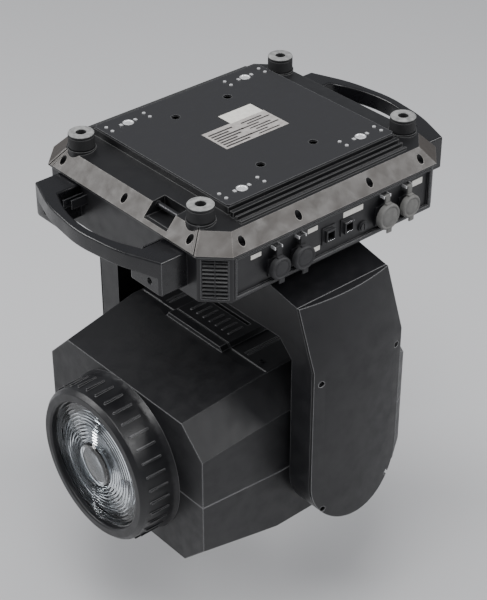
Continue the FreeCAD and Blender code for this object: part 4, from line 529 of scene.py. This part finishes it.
BLACK = black_casting()
BAND_PAINTED_REFLECTION = skirt_paint()
LEDGE = ledge_paint()
PLATE = plate_paint()
PLASTIC = cover_plastic()
VENT = vent_plastic()
HANDLE = handle_plastic()
RUBBER = foot_rubber()
FOOT_TOP_WEAR_AND_REFLECTION = foot_top_wear_and_reflection()
CAP_DARK = cap_rubber("cap_rubber_dark", (0.022, 0.022, 0.024))
CAP_GREY = cap_rubber("cap_rubber_grey", (0.15, 0.148, 0.142))
STEEL = bright_steel()
ZINC = zinc()
JOINT_PAINTED_SHADE = joint_painted_shade()
DARK_STEEL = black_steel()
ALUMINIUM = milled_aluminium()
SOCKET = socket_plastic()
GLASS = lens_glass()
SCREEN = screen_glass()
GLOW = screen_light()
BUTTON = button_plastic()
FILM = label_film()
INK = label_ink()
PAPER = sticker_paper()
BOARD = board_lacquer()
BELT = belt_rubber()
FAN = fan_plastic()


# ---------------------------------------------------------------- base

def corner_seam(sign_x, sign_y, aside, width, depth):
    """A cutter for a narrow joint across the band, aside from the edge of a cut corner."""
    low = Vector((SKIRT_HIGH.x, SKIRT_HIGH.y - CORNER_CUT, SKIRT_LIP))
    high = Vector((SKIRT_HIGH.x - SKIRT_INSET, SKIRT_HIGH.y - SKIRT_INSET - CORNER_TOP, SKIRT_TOP))
    along = (high - low).normalized()
    out = Vector((high.z - low.z, 0, low.x - high.x)).normalized()
    across = along.cross(out)
    half_run = 24 * MM
    cutter = block("seam", (-depth, -width / 2, -half_run), (depth, width / 2, half_run))
    turn = Matrix((out, across, along)).transposed().to_4x4()
    middle = (low + high) / 2 - Vector((0, aside, 0))
    cutter.matrix_world = Matrix.Diagonal((sign_x, sign_y, 1, 1)) @ Matrix.Translation(middle) @ turn
    settle(cutter)
    if sign_x * sign_y < 0:
        with editing(cutter, "SELECT", "FACE"):
            bpy.ops.mesh.normals_make_consistent(inside=False)
    return cutter


def on_band(middle, normal):
    """Whether a face lies on the leaning band round the skirt."""
    side_reach = 24 * MM
    corner_reach = 62 * MM
    at_height = SKIRT_LIP - 1 * MM < middle.z < SKIRT_TOP + 0.8 * MM
    leaning = 0.45 < normal.z < 0.85
    at_side = abs(middle.x) > SKIRT_HIGH.x - side_reach or abs(middle.y) > SKIRT_HIGH.y - side_reach
    at_corner = abs(middle.x) + abs(middle.y) > SKIRT_HIGH.x + SKIRT_HIGH.y - corner_reach
    return at_height and leaning and (at_side or at_corner)


def make_skirt():
    """The skirt casting: dark ledges, a leaning band painted paler as a painted reflection, and two joints
    beside each cut corner.
    """
    skirt = copied("skirt_frame", "skirt")
    corners = [(x, y) for x in (-1, 1) for y in (-1, 1)]
    seams = [corner_seam(x, y, 3.6 * MM, 2.0 * MM, 2.2 * MM) for x, y in corners]
    seams += [corner_seam(x, y, 9.5 * MM, 0.8 * MM, 0.8 * MM) for x, y in corners]
    carve(skirt, seams)
    soften(skirt, 0.7 * MM, 2)
    paint(skirt, LEDGE, BAND_PAINTED_REFLECTION)
    # the band faces get the paler grey of the painted reflection
    paint_faces(skirt, 1, on_band)
    fit(skirt, "base", "skirt_paint", "skirt_frame")


def make_housing():
    """The base walls; the low edge and the upright corners catch the light."""
    housing = copied("base_housing", "housing")
    wall = HOUSING_HIGH.x - 1 * MM

    def outside_edge(middle, direction, length):
        at_bottom = abs(middle.z - HOUSING_LOW.z) < 0.1 * MM
        at_corner = abs(direction.z) > 0.99 and length > 60 * MM
        outer = abs(middle.x) > wall or abs(middle.y) > HOUSING_HIGH.y - 1 * MM \
            or abs(middle.x) + abs(middle.y) > HOUSING_HIGH.x + HOUSING_HIGH.y - 40 * MM
        return outer and (at_bottom or at_corner) and length > 8 * MM

    round_edges(housing, 2.4 * MM, 3, outside_edge)
    soften(housing, 0.5 * MM, 2)
    paint(housing, BLACK)
    fit(housing, "base", "black_casting", "base_housing")


VENT_MIDDLE = Vector((200.2 * MM, 174.2 * MM, -78.5 * MM))
VENT_HALF_WIDTH = 18 * MM
VENT_HALF_HEIGHT = 30 * MM


def make_vents():
    """Fine level louvres in the four cut corners, with one thin upright rib."""
    corners = []
    half, tall = VENT_HALF_WIDTH, VENT_HALF_HEIGHT
    louvres = 10
    slat_half = Vector((2.3 * MM, half, 0.8 * MM))
    slat_tilt = math.radians(38)
    frame_back = -4.4 * MM
    edge = 0.4 * MM
    for sign_x, sign_y in ((-1, -1), (1, -1), (1, 1), (-1, 1)):
        parts = [block("back", (-5.4 * MM, -half, -tall), (-3.4 * MM, half, tall))]
        for index in range(louvres):
            level = -tall + (index + 0.5) * 2 * tall / louvres
            slat = block("slat", -slat_half, slat_half, edge, 1)
            slat.rotation_euler = (0, slat_tilt, 0)
            slat.location = (-1.9 * MM, 0, level)
            parts.append(settle(slat))
        for y in (-half + 0.8 * MM, half - 0.8 * MM):
            parts.append(block("side", (frame_back, y - 0.8 * MM, -tall), (0.4 * MM, y + 0.8 * MM, tall),
                               edge, 1))
        parts.append(block("rib", (frame_back, -0.7 * MM, -tall), (0.7 * MM, 0.7 * MM, tall), edge, 1))
        corner = joined("vent", parts)
        corner.rotation_euler = (0, 0, math.atan2(sign_y, sign_x))
        corner.location = (sign_x * VENT_MIDDLE.x, sign_y * VENT_MIDDLE.y, VENT_MIDDLE.z)
        corners.append(settle(corner))
    vents = smooth(joined("corner_louvres", corners))
    fit(paint(vents, VENT), "base", "black_plastic", "corner_vents")


def make_plate():
    plate = soften(copied("underside_plate", "plate"), 0.6 * MM, 2)
    fit(paint(plate, PLATE), "base", "plate_paint", "underside_plate")


def make_funnels():
    """The bright dished mouths of the bracket receptacles, with their spring clips."""
    low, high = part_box("quarter_turn_sockets")
    flange = 13 * MM
    clip_near, clip_far, clip_half = 10.5 * MM, 14.5 * MM, 2.6 * MM
    rings = [(7.9 * MM, -0.9 * MM), (7.9 * MM, -0.2 * MM), (7.3 * MM, 0.15 * MM), (6.6 * MM, 0.0),
             (4.9 * MM, -1.9 * MM), (4.9 * MM, -2.6 * MM)]
    pieces = []
    for x in (low.x + flange, high.x - flange):
        for y in (low.y + flange, high.y - flange):
            pieces.append(turned("funnel", "z", (x, y, 0), rings, 32))
            for side in (-1, 1):
                near, far = sorted((x + side * clip_near, x + side * clip_far))
                pieces.append(block("clip", (near, y - clip_half, -0.3 * MM), (far, y + clip_half, 0.9 * MM),
                                    0.3 * MM))
    fit(paint(joined("receptacle_mouths", pieces), ZINC), "base", "bright_steel")


def make_feet():
    """Four turned feet: a black body, a standing face greyed by wear and by a painted reflection, and a screw
    well.
    """
    low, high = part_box("rubber_feet")
    radius = 18.5 * MM
    well = 7.5 * MM
    rings = [(radius - 1.5 * MM, low.z), (radius, low.z + 1.5 * MM), (radius, high.z - 6 * MM),
             (radius - 0.8 * MM, high.z - 5.2 * MM), (radius - 0.8 * MM, high.z - 4.2 * MM),
             (radius, high.z - 3.4 * MM), (radius - 0.2 * MM, high.z - 1.6 * MM),
             (radius - 1.0 * MM, high.z - 0.5 * MM), (radius - 2.4 * MM, high.z),
             (well + 1.2 * MM, high.z), (well + 0.3 * MM, high.z - 0.4 * MM),
             (well, high.z - 1.4 * MM), (well, high.z - 9 * MM), (3.9 * MM, high.z - 9 * MM),
             (3.9 * MM, high.z - 6.9 * MM), (0.8 * MM, high.z - 6.6 * MM)]
    feet = []
    for x in (low.x + radius, high.x - radius):
        for y in (low.y + radius, high.y - radius):
            feet.append(turned("foot", "z", (x, y, 0), rings))
    feet = joined("feet", feet)
    paint(feet, RUBBER, FOOT_TOP_WEAR_AND_REFLECTION)
    # upward faces of the top get the paler colour: wear and a painted reflection
    paint_faces(feet, 1, lambda middle, normal: middle.z > high.z - 2.0 * MM and normal.z > 0.2)
    fit(feet, "base", "foot_rubber", "rubber_feet")


def make_label():
    """Blank rating label with ruled bars and a plain white sticker over its edge."""
    top = PLATE_TOP
    film_top = top + 0.3 * MM
    film = block("rating_label", (-55 * MM, -29 * MM, top), (59 * MM, 25 * MM, film_top), 0.1 * MM)
    fit(paint(film, FILM), "base", "plate_paint")
    rows = 7
    left_column = (3.2 * MM, ((-51, -8), (-51, 2), (-51, -20)))
    right_column = (2.6 * MM, ((8, 46), (-2, 30), (14, 55)))
    bars = []
    for row in range(rows):
        y = (-25 + 6.4 * row) * MM
        for height, spans in (left_column, right_column):
            start, end = spans[row % len(spans)]
            bars.append(block("bar", (start * MM, y, top + 0.2 * MM),
                              (end * MM, y + height, top + 0.42 * MM)))
    bars = joined("label_bars", bars)
    fit(paint(bars, INK), "base", "plate_paint")
    sticker = block("white_sticker", (-3 * MM, 23 * MM, film_top), (57 * MM, 51 * MM, top + 0.6 * MM),
                    0.1 * MM)
    fit(paint(sticker, PAPER), "base", "plate_paint")


def make_handle(node, sign):
    """A moulded handle with a rounded grip and two webs inside each end block."""
    low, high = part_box(node)
    wall = low.x if sign > 0 else high.x
    grip = copied(node, node + "_moulding")
    bend_radius = 21 * MM
    edge_radius = 3.2 * MM
    web_half = 1.2 * MM

    def bend(middle, direction, length):
        return abs(direction.z) > 0.99 and abs(middle.x - wall) > 50 * MM and length > 10 * MM

    def open_edge(middle, direction, length):
        return length > 2.5 * MM and abs(middle.x - wall) > 0.5 * MM and abs(direction.z) < 0.5

    round_edges(grip, bend_radius, 6, bend, 4)
    round_edges(grip, edge_radius, 4, open_edge, 30)
    webs = []
    for side in (-1, 1):
        for inset, reach in ((52, 34), (60, 26)):
            y = side * (high.y - inset * MM)
            ends = sorted((wall, wall + sign * reach * MM))
            webs.append(block("web", (ends[0], y - web_half, high.z - 24 * MM),
                              (ends[1], y + web_half, high.z - 10 * MM), 0.6 * MM))
    grip = smooth(joined(grip.name, [grip] + webs))
    fit(paint(grip, HANDLE), "base", "handle_plastic", node)


# ---------------------------------------------------------------- connector side

def make_connector_panel():
    """The recessed plate; its cap staples are bright wire. Returns where its outer face lies."""
    sheet = 2 * MM
    panel = soften(copied("connector_panel", "socket_plate"), 0.25 * MM, 1)
    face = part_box("connector_panel")[1].y - sheet
    paint(panel, BLACK, ZINC)
    paint_faces(panel, 1, lambda middle, normal: middle.y < face - 0.3 * MM)
    fit(panel, "base", "black_casting", "connector_panel")
    return face


def make_window_trim():
    """A raised bead round the connector window."""
    outer_y = HOUSING_LOW.y
    low = Vector((-179.5 * MM, outer_y - 1.3 * MM, -109.5 * MM))
    high = Vector((181.5 * MM, outer_y + 0.4 * MM, -47.0 * MM))
    bead = block("window_bead", low, high)
    inside = block("inside", (-176.2 * MM, low.y - MM, -106.2 * MM), (178.2 * MM, high.y + MM, -50.3 * MM))
    carve(bead, [inside])
    soften(bead, 0.5 * MM, 2)
    fit(paint(bead, BLACK), "base", "black_casting")


def make_wall_labels(face):
    """Small blank white labels beside the sockets: left, right, low and high, in millimetres."""
    film = 0.35 * MM
    spots = [(-150, -132, -63, -56.5), (-50, -32, -64, -57), (-42, -27, -97, -90),
             (15, 52, -65, -56.5), (147, 167, -67, -57.5)]
    labels = []
    for left, right, low, high in spots:
        labels.append(block("label", (left * MM, face - film, low * MM), (right * MM, face, high * MM),
                            0.12 * MM))
    labels = joined("socket_labels", labels)
    fit(paint(labels, PAPER), "base", "black_casting")


def make_cap(node, finish, slot):
    """A ribbed rubber cap: rim, dished face, a pull tab below and a strap up to its staple."""
    low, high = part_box(node)
    joint = next(item for item in frame["joints"] if item["child"] == node)
    hinge = Vector(joint["pos_m"])
    tab = 5 * MM
    front = low.y
    radius = (high.x - low.x) / 2
    centre = Vector(((low.x + high.x) / 2, 0, low.z + tab + radius))
    depth = 9.4 * MM
    rings = [(radius - 2 * MM, depth), (radius, depth - MM), (radius, 2.6 * MM),
             (radius - 0.6 * MM, 1.2 * MM),
             (radius - 1.8 * MM, 0.3 * MM), (radius - 3.2 * MM, 0.3 * MM), (radius - 4.2 * MM, 1.2 * MM),
             (radius - 5.4 * MM, 1.4 * MM), (radius - 6.2 * MM, 0.8 * MM), (radius * 0.35, 0.5 * MM),
             (0.5 * MM, 0.4 * MM)]
    disc = turned("disc", "y", (centre.x, front, centre.z), rings, 40)
    strap = block("strap", (centre.x - 4.3 * MM, front + 6.2 * MM, centre.z + radius - 3 * MM),
                  (centre.x + 4.3 * MM, front + 9.2 * MM, hinge.z + 1.2 * MM), 0.8 * MM)
    neck = block("neck", (centre.x - 5.2 * MM, front + 3 * MM, centre.z + radius - 3.5 * MM),
                 (centre.x + 5.2 * MM, front + 8.6 * MM, centre.z + radius + 2 * MM), 1.2 * MM)
    knuckle = turned("knuckle", "x", (centre.x, hinge.y, hinge.z),
                     [(2 * MM, -4.4 * MM), (2.3 * MM, -4 * MM), (2.3 * MM, 4 * MM), (2 * MM, 4.4 * MM)], 20)
    pull = block("pull", (centre.x - 4.8 * MM, front + 0.4 * MM, low.z),
                 (centre.x + 4.8 * MM, front + 2.9 * MM, low.z + 9 * MM), 1.0 * MM, 3)
    cap = joined(node + "_moulding", [disc, strap, neck, knuckle, pull])
    fit(paint(cap, finish), node, slot, node)


def make_sockets():
    """The sockets in the wall; the network sockets have bright contacts."""
    for node in ("data_input", "data_output", "power_inlet", "power_outlet"):
        shell = soften(copied(node, node + "_shell"), 0.4 * MM, 2)
        fit(paint(shell, SOCKET), "base", "socket_plastic", node)
    sockets = soften(copied("network_sockets", "network_shells"), 0.35 * MM, 2)
    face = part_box("network_sockets")[0].y
    paint(sockets, SOCKET, STEEL)
    paint_faces(sockets, 1, lambda middle, normal: face - MM < middle.y < face + 1.2 * MM and normal.z > 0.5)
    fit(sockets, "base", "socket_plastic", "network_sockets")
    holder = soften(copied("fuse_holder", "fuse_cap"), 0.5 * MM, 2)
    fit(paint(holder, SOCKET), "base", "socket_plastic", "fuse_holder")


# ---------------------------------------------------------------- display side

def make_display():
    """The surround, the glass with plain lit rows, three dished buttons and the encoder wheel."""
    bezel = soften(copied("display_bezel", "display_surround"), 0.8 * MM, 3)
    fit(paint(bezel, PLASTIC), "base", "black_plastic", "display_bezel")
    low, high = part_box("display_screen")
    glass = block("screen", low, high, 0.4 * MM)
    fit(paint(glass, SCREEN), "base", "screen_glass", "display_screen")
    rows = []
    for row in range(4):
        top = high.z - (6 + 7.5 * row) * MM
        length = (50, 38, 44, 28)[row] * MM
        rows.append(block("row", (high.x - 6 * MM - length, high.y, top - 3 * MM),
                          (high.x - 6 * MM, high.y + 0.12 * MM, top)))
    fit(paint(joined("screen_rows", rows), GLOW), "base", "screen_glass")
    for node in ("menu_button", "enter_button", "back_button"):
        low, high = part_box(node)
        radius = (high.x - low.x) / 2
        reach = high.y - low.y
        rings = [(radius - 0.3 * MM, 0), (radius, 0.3 * MM), (radius, reach - 0.9 * MM),
                 (radius - 0.3 * MM, reach - 0.3 * MM),
                 (radius - MM, reach), (radius - 1.8 * MM, reach - 0.1 * MM), (0.4 * MM, reach - 0.6 * MM)]
        spot = ((low.x + high.x) / 2, low.y, (low.z + high.z) / 2)
        fit(paint(turned(node + "_cap", "y", spot, rings, 32), BUTTON), node, "button_plastic", node)
    knob = soften(copied("encoder_knob", "encoder_wheel"), 0.4 * MM, 2)
    fit(paint(knob, BUTTON), "encoder_knob", "button_plastic", "encoder_knob")


# ---------------------------------------------------------------- yoke

def make_yoke():
    """The casting: wide soft edges along the shoulders, the arch and both flanks."""
    yoke = copied("yoke_frame", "yoke_casting")
    flank = YOKE_HIGH.x - 0.5 * MM

    def profile_edge(middle, direction, length):
        on_flank = abs(middle.x) > flank and abs(middle.y) > 60 * MM and length > 20 * MM
        across = abs(direction.x) > 0.99 and length > 150 * MM
        return on_flank or across

    round_edges(yoke, 3.0 * MM, 3, profile_edge, 15)
    soften(yoke, 0.5 * MM, 2)
    fit(paint(yoke, BLACK), "yoke", "black_casting", "yoke_frame")


def make_arm_cover(node):
    """An outer arm cover with a broad rim that carries the painted edge highlight; its side walls are painted
    near-black as painted shade in the joint.
    """
    cover = copied(node, node + "_shell")
    reach = max(abs(corner.y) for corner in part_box(node))
    mouth = 207 * MM

    def rim(middle, _, length):
        outer = abs(middle.y) > max(reach - 60 * MM, mouth)
        return outer and abs(middle.x) < 90 * MM and length > 1.5 * MM

    round_edges(cover, 2.4 * MM, 4, rim, 35)
    smooth(cover)
    paint(cover, PLASTIC, JOINT_PAINTED_SHADE)
    # side walls: painted shade in the joint between cover and yoke
    paint_faces(cover, 1, lambda middle, normal: abs(normal.x) > 0.97)
    fit(cover, "yoke", "black_plastic", node)


def make_locks():
    """The pan and tilt lock sliders."""
    for node in ("pan_lock", "tilt_lock"):
        lock = soften(copied(node, node + "_slider"), 0.6 * MM, 2)
        fit(paint(lock, BUTTON), node, "button_plastic", node)


# ---------------------------------------------------------------- head

def make_head_cover(node):
    """A head shell with shallow joint lines and a ribbed spine."""
    cover = copied(node, node + "_shell")
    low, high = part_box(node)
    upper = node == "head_cover_upper"
    outer_z = high.z if upper else low.z
    outward = 1 if upper else -1
    flat_z = outer_z - outward * 7 * MM
    groove_half, joint_half = 0.9 * MM, 0.8 * MM
    joint_reach = 139 * MM
    grooves = []
    bottom, top = sorted((flat_z - outward * 1.4 * MM, flat_z + outward * 2 * MM))
    for y in (-92 * MM, -86 * MM, 86 * MM, 92 * MM):
        grooves.append(block("groove", (-72 * MM, y - groove_half, bottom), (118 * MM, y + groove_half, top)))
    carve(cover, grooves)
    joints = []
    bottom, top = sorted((outer_z - outward * 8.2 * MM, outer_z + outward * 1 * MM))
    for x in (-80 * MM, 126 * MM):
        joints.append(block("joint", (x - joint_half, -joint_reach, bottom),
                            (x + joint_half, joint_reach, top)))
    carve(cover, joints)

    def body_edge(middle, _, length):
        return length > 40 * MM and abs(middle.z - TILT_AXIS[2]) > 4 * MM

    round_edges(cover, 3.0 * MM, 3, body_edge, 12)
    soften(cover, 0.5 * MM, 2)
    ribs = []
    rib_half = 1.4 * MM
    bottom, top = sorted((outer_z - outward * 3 * MM, outer_z + outward * 1.2 * MM))
    for index in range(7):
        y = (-42 + 14 * index) * MM
        ribs.append(block("rib", (-66 * MM, y - rib_half, bottom), (-38 * MM, y + rib_half, top), 0.6 * MM))
    cover = joined(cover.name, [cover] + ribs)
    fit(paint(cover, PLASTIC), "head", "black_plastic", node)


def make_trunnion_rims():
    """The raised rim round each trunnion on the sides of the head, with its ring of screws."""
    side_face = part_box("head_cover_upper")[1].y
    rim_rings = [(47 * MM, 0), (47 * MM, 1.2 * MM), (45.5 * MM, 2.6 * MM), (38 * MM, 2.6 * MM),
                 (36.5 * MM, 1.4 * MM), (27 * MM, 1.4 * MM), (25.6 * MM, 0.2 * MM)]
    head_rings = [(2.9 * MM, 0), (2.9 * MM, 1.2 * MM), (2.2 * MM, 1.8 * MM), (1.3 * MM, 1.8 * MM),
                  (1.2 * MM, 0.9 * MM)]
    screws = 6
    screw_circle = 41.8 * MM
    rims = []
    heads = []
    for side, axis in ((-1, "-y"), (1, "y")):
        face = side * (side_face - 0.4 * MM)
        rims.append(turned("rim", axis, (0, face, TILT_AXIS[2]), rim_rings, 64))
        for index in range(screws):
            angle = math.radians(30) + index * 2 * math.pi / screws
            x, z = screw_circle * math.cos(angle), TILT_AXIS[2] + screw_circle * math.sin(angle)
            heads.append(turned("head", axis, (x, face + side * 1.8 * MM, z), head_rings, 16))
    fit(paint(joined("trunnion_rims", rims), PLASTIC), "head", "black_plastic")
    fit(paint(joined("rim_screws", heads), DARK_STEEL), "head", "black_steel")


def make_lens():
    """The front glass: a stepped lens of ring prisms round a plain domed middle."""
    low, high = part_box("front_lens")
    radius = (high.y - low.y) / 2
    thick = high.x - low.x
    rings = [(radius, 0), (radius, 3 * MM)]
    steps = 12
    pitch = 0.055
    for step in range(steps):
        outer = radius * (1 - pitch * step) - 2 * MM
        inner = radius * (1 - pitch * (step + 1)) - 2 * MM
        crest = min(thick, 4.2 * MM + 0.35 * MM * step)
        rings += [(outer, 2.4 * MM), (inner + 0.4 * MM, crest)]
    middle = rings[-1][0]
    for share in (0.85, 0.6, 0.3, 0.02):
        rings.append((middle * share, thick - (thick - 4.6 * MM) * share ** 2))
    lens = turned("lens", "-x", (high.x, TILT_AXIS[1], TILT_AXIS[2]), rings, 96)
    fit(paint(lens, GLASS), "head", "lens_glass", "front_lens")


def make_nose():
    """The front ring, with cooling ribs round its barrel."""
    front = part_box("front_bezel")[0].x
    ring = soften(copied("front_bezel", "nose_ring"), 1.0 * MM, 3)
    rib_low = (front + 14 * MM, -1.2 * MM, 112 * MM)
    rib_high = (front + 46 * MM, 1.2 * MM, 122.6 * MM)
    ribs = []
    count = 36
    for index in range(count):
        angle = 2 * math.pi * index / count
        rib = block("rib", rib_low, rib_high, 0.5 * MM)
        rib.rotation_euler = (angle, 0, 0)
        rib.location = (0, TILT_AXIS[1], TILT_AXIS[2])
        ribs.append(settle(rib))
    ring = joined("nose_ring", [ring] + ribs)
    fit(paint(ring, BLACK), "head", "black_casting", "front_bezel")


# ---------------------------------------------------------------- nodes that keep their own shape

KEPT = {
    STEEL: ["pan_bearing", "tilt_bearings", "guide_rails"],
    ZINC: ["socket_rivets", "quarter_turn_sockets"],
    DARK_STEEL: ["safety_bar", "base_screws", "yoke_screws", "head_screws", "pan_motor", "tilt_motor"],
    ALUMINIUM: ["pan_pulley", "pan_drive_pulley", "tilt_pulley", "tilt_drive_pulley", "head_frame",
                "light_engine", "colour_wheel", "zoom_carriage", "heat_sink", "power_supply"],
    GLASS: ["zoom_lens"],
    BOARD: ["main_board"],
    BELT: ["pan_belt", "tilt_belt"],
    FAN: ["fan_frame", "fan_rotor"],
}


def finish_kept_nodes():
    """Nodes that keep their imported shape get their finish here."""
    for finish, nodes in KEPT.items():
        for name in nodes:
            node = frame["nodes"][name]
            for slot in node.material_slots:
                slot.material = finish


# ---------------------------------------------------------------- floor, light and camera

FLOOR = -0.77


def make_floor():
    """A plain pale floor some way below the head."""
    bpy.ops.object.select_all(action="DESELECT")
    bpy.ops.mesh.primitive_plane_add(size=40, location=(0, 0, FLOOR))
    floor = bpy.context.object
    floor.name = "floor"
    made = Finish("floor_paint", (0.66, 0.66, 0.67), 0.7)
    made.gloss(made.spread(made.noise(3), 0.65, 0.75))
    paint(floor, made.material)


def make_lamp(name, place, aim, size, power):
    data = bpy.data.lights.new(name, "AREA")
    data.shape = "RECTANGLE"
    data.size, data.size_y = size
    data.energy = power
    lamp = bpy.data.objects.new(name, data)
    bpy.context.scene.collection.objects.link(lamp)
    lamp.location = place
    lamp.rotation_euler = (Vector(aim) - Vector(place)).to_track_quat("-Z", "Y").to_euler()


def make_lights():
    """Three large soft boxes in a pale room."""
    world = bpy.data.worlds.new("studio")
    world.use_nodes = True
    world.node_tree.nodes["Background"].inputs["Color"].default_value = (0.80, 0.82, 0.86, 1)
    world.node_tree.nodes["Background"].inputs["Strength"].default_value = 0.38
    bpy.context.scene.world = world
    middle = (0, 0, -0.2)
    make_lamp("front_right_box", (2.2, -2.4, 2.2), middle, (1.8, 1.4), 90)
    make_lamp("back_left_box", (-2.2, 2.4, 1.9), middle, (1.8, 1.4), 90)
    make_lamp("overhead_box", (-0.9, -0.7, 2.6), middle, (1.6, 1.6), 60)


def make_camera():
    """A long lens that looks down on the base from beyond its front connector corner."""
    data = bpy.data.cameras.new("camera")
    camera = bpy.data.objects.new("camera", data)
    bpy.context.scene.collection.objects.link(camera)
    bpy.context.scene.camera = camera
    camera.location = (-1.345, -1.546, 1.0905)
    aim = Vector((0.0, 0.0, -0.285))
    camera.rotation_euler = (aim - camera.location).to_track_quat("-Z", "Y").to_euler()
    data.sensor_width = 36
    data.lens = 100


def main():
    make_floor()
    make_lights()
    make_camera()
    make_skirt()
    make_housing()
    make_vents()
    make_plate()
    make_funnels()
    make_feet()
    make_label()
    make_handle("handle_front", -1)
    make_handle("handle_rear", 1)
    face = make_connector_panel()
    make_window_trim()
    make_wall_labels(face)
    make_cap("data_input_cap", CAP_DARK, "cap_rubber_dark")
    make_cap("data_output_cap", CAP_DARK, "cap_rubber_dark")
    make_cap("power_inlet_cap", CAP_GREY, "cap_rubber_grey")
    make_cap("power_outlet_cap", CAP_GREY, "cap_rubber_grey")
    make_sockets()
    make_display()
    make_yoke()
    make_arm_cover("arm_cover_left")
    make_arm_cover("arm_cover_right")
    make_locks()
    make_head_cover("head_cover_upper")
    make_head_cover("head_cover_lower")
    make_trunnion_rims()
    make_lens()
    make_nose()
    finish_kept_nodes()


main()
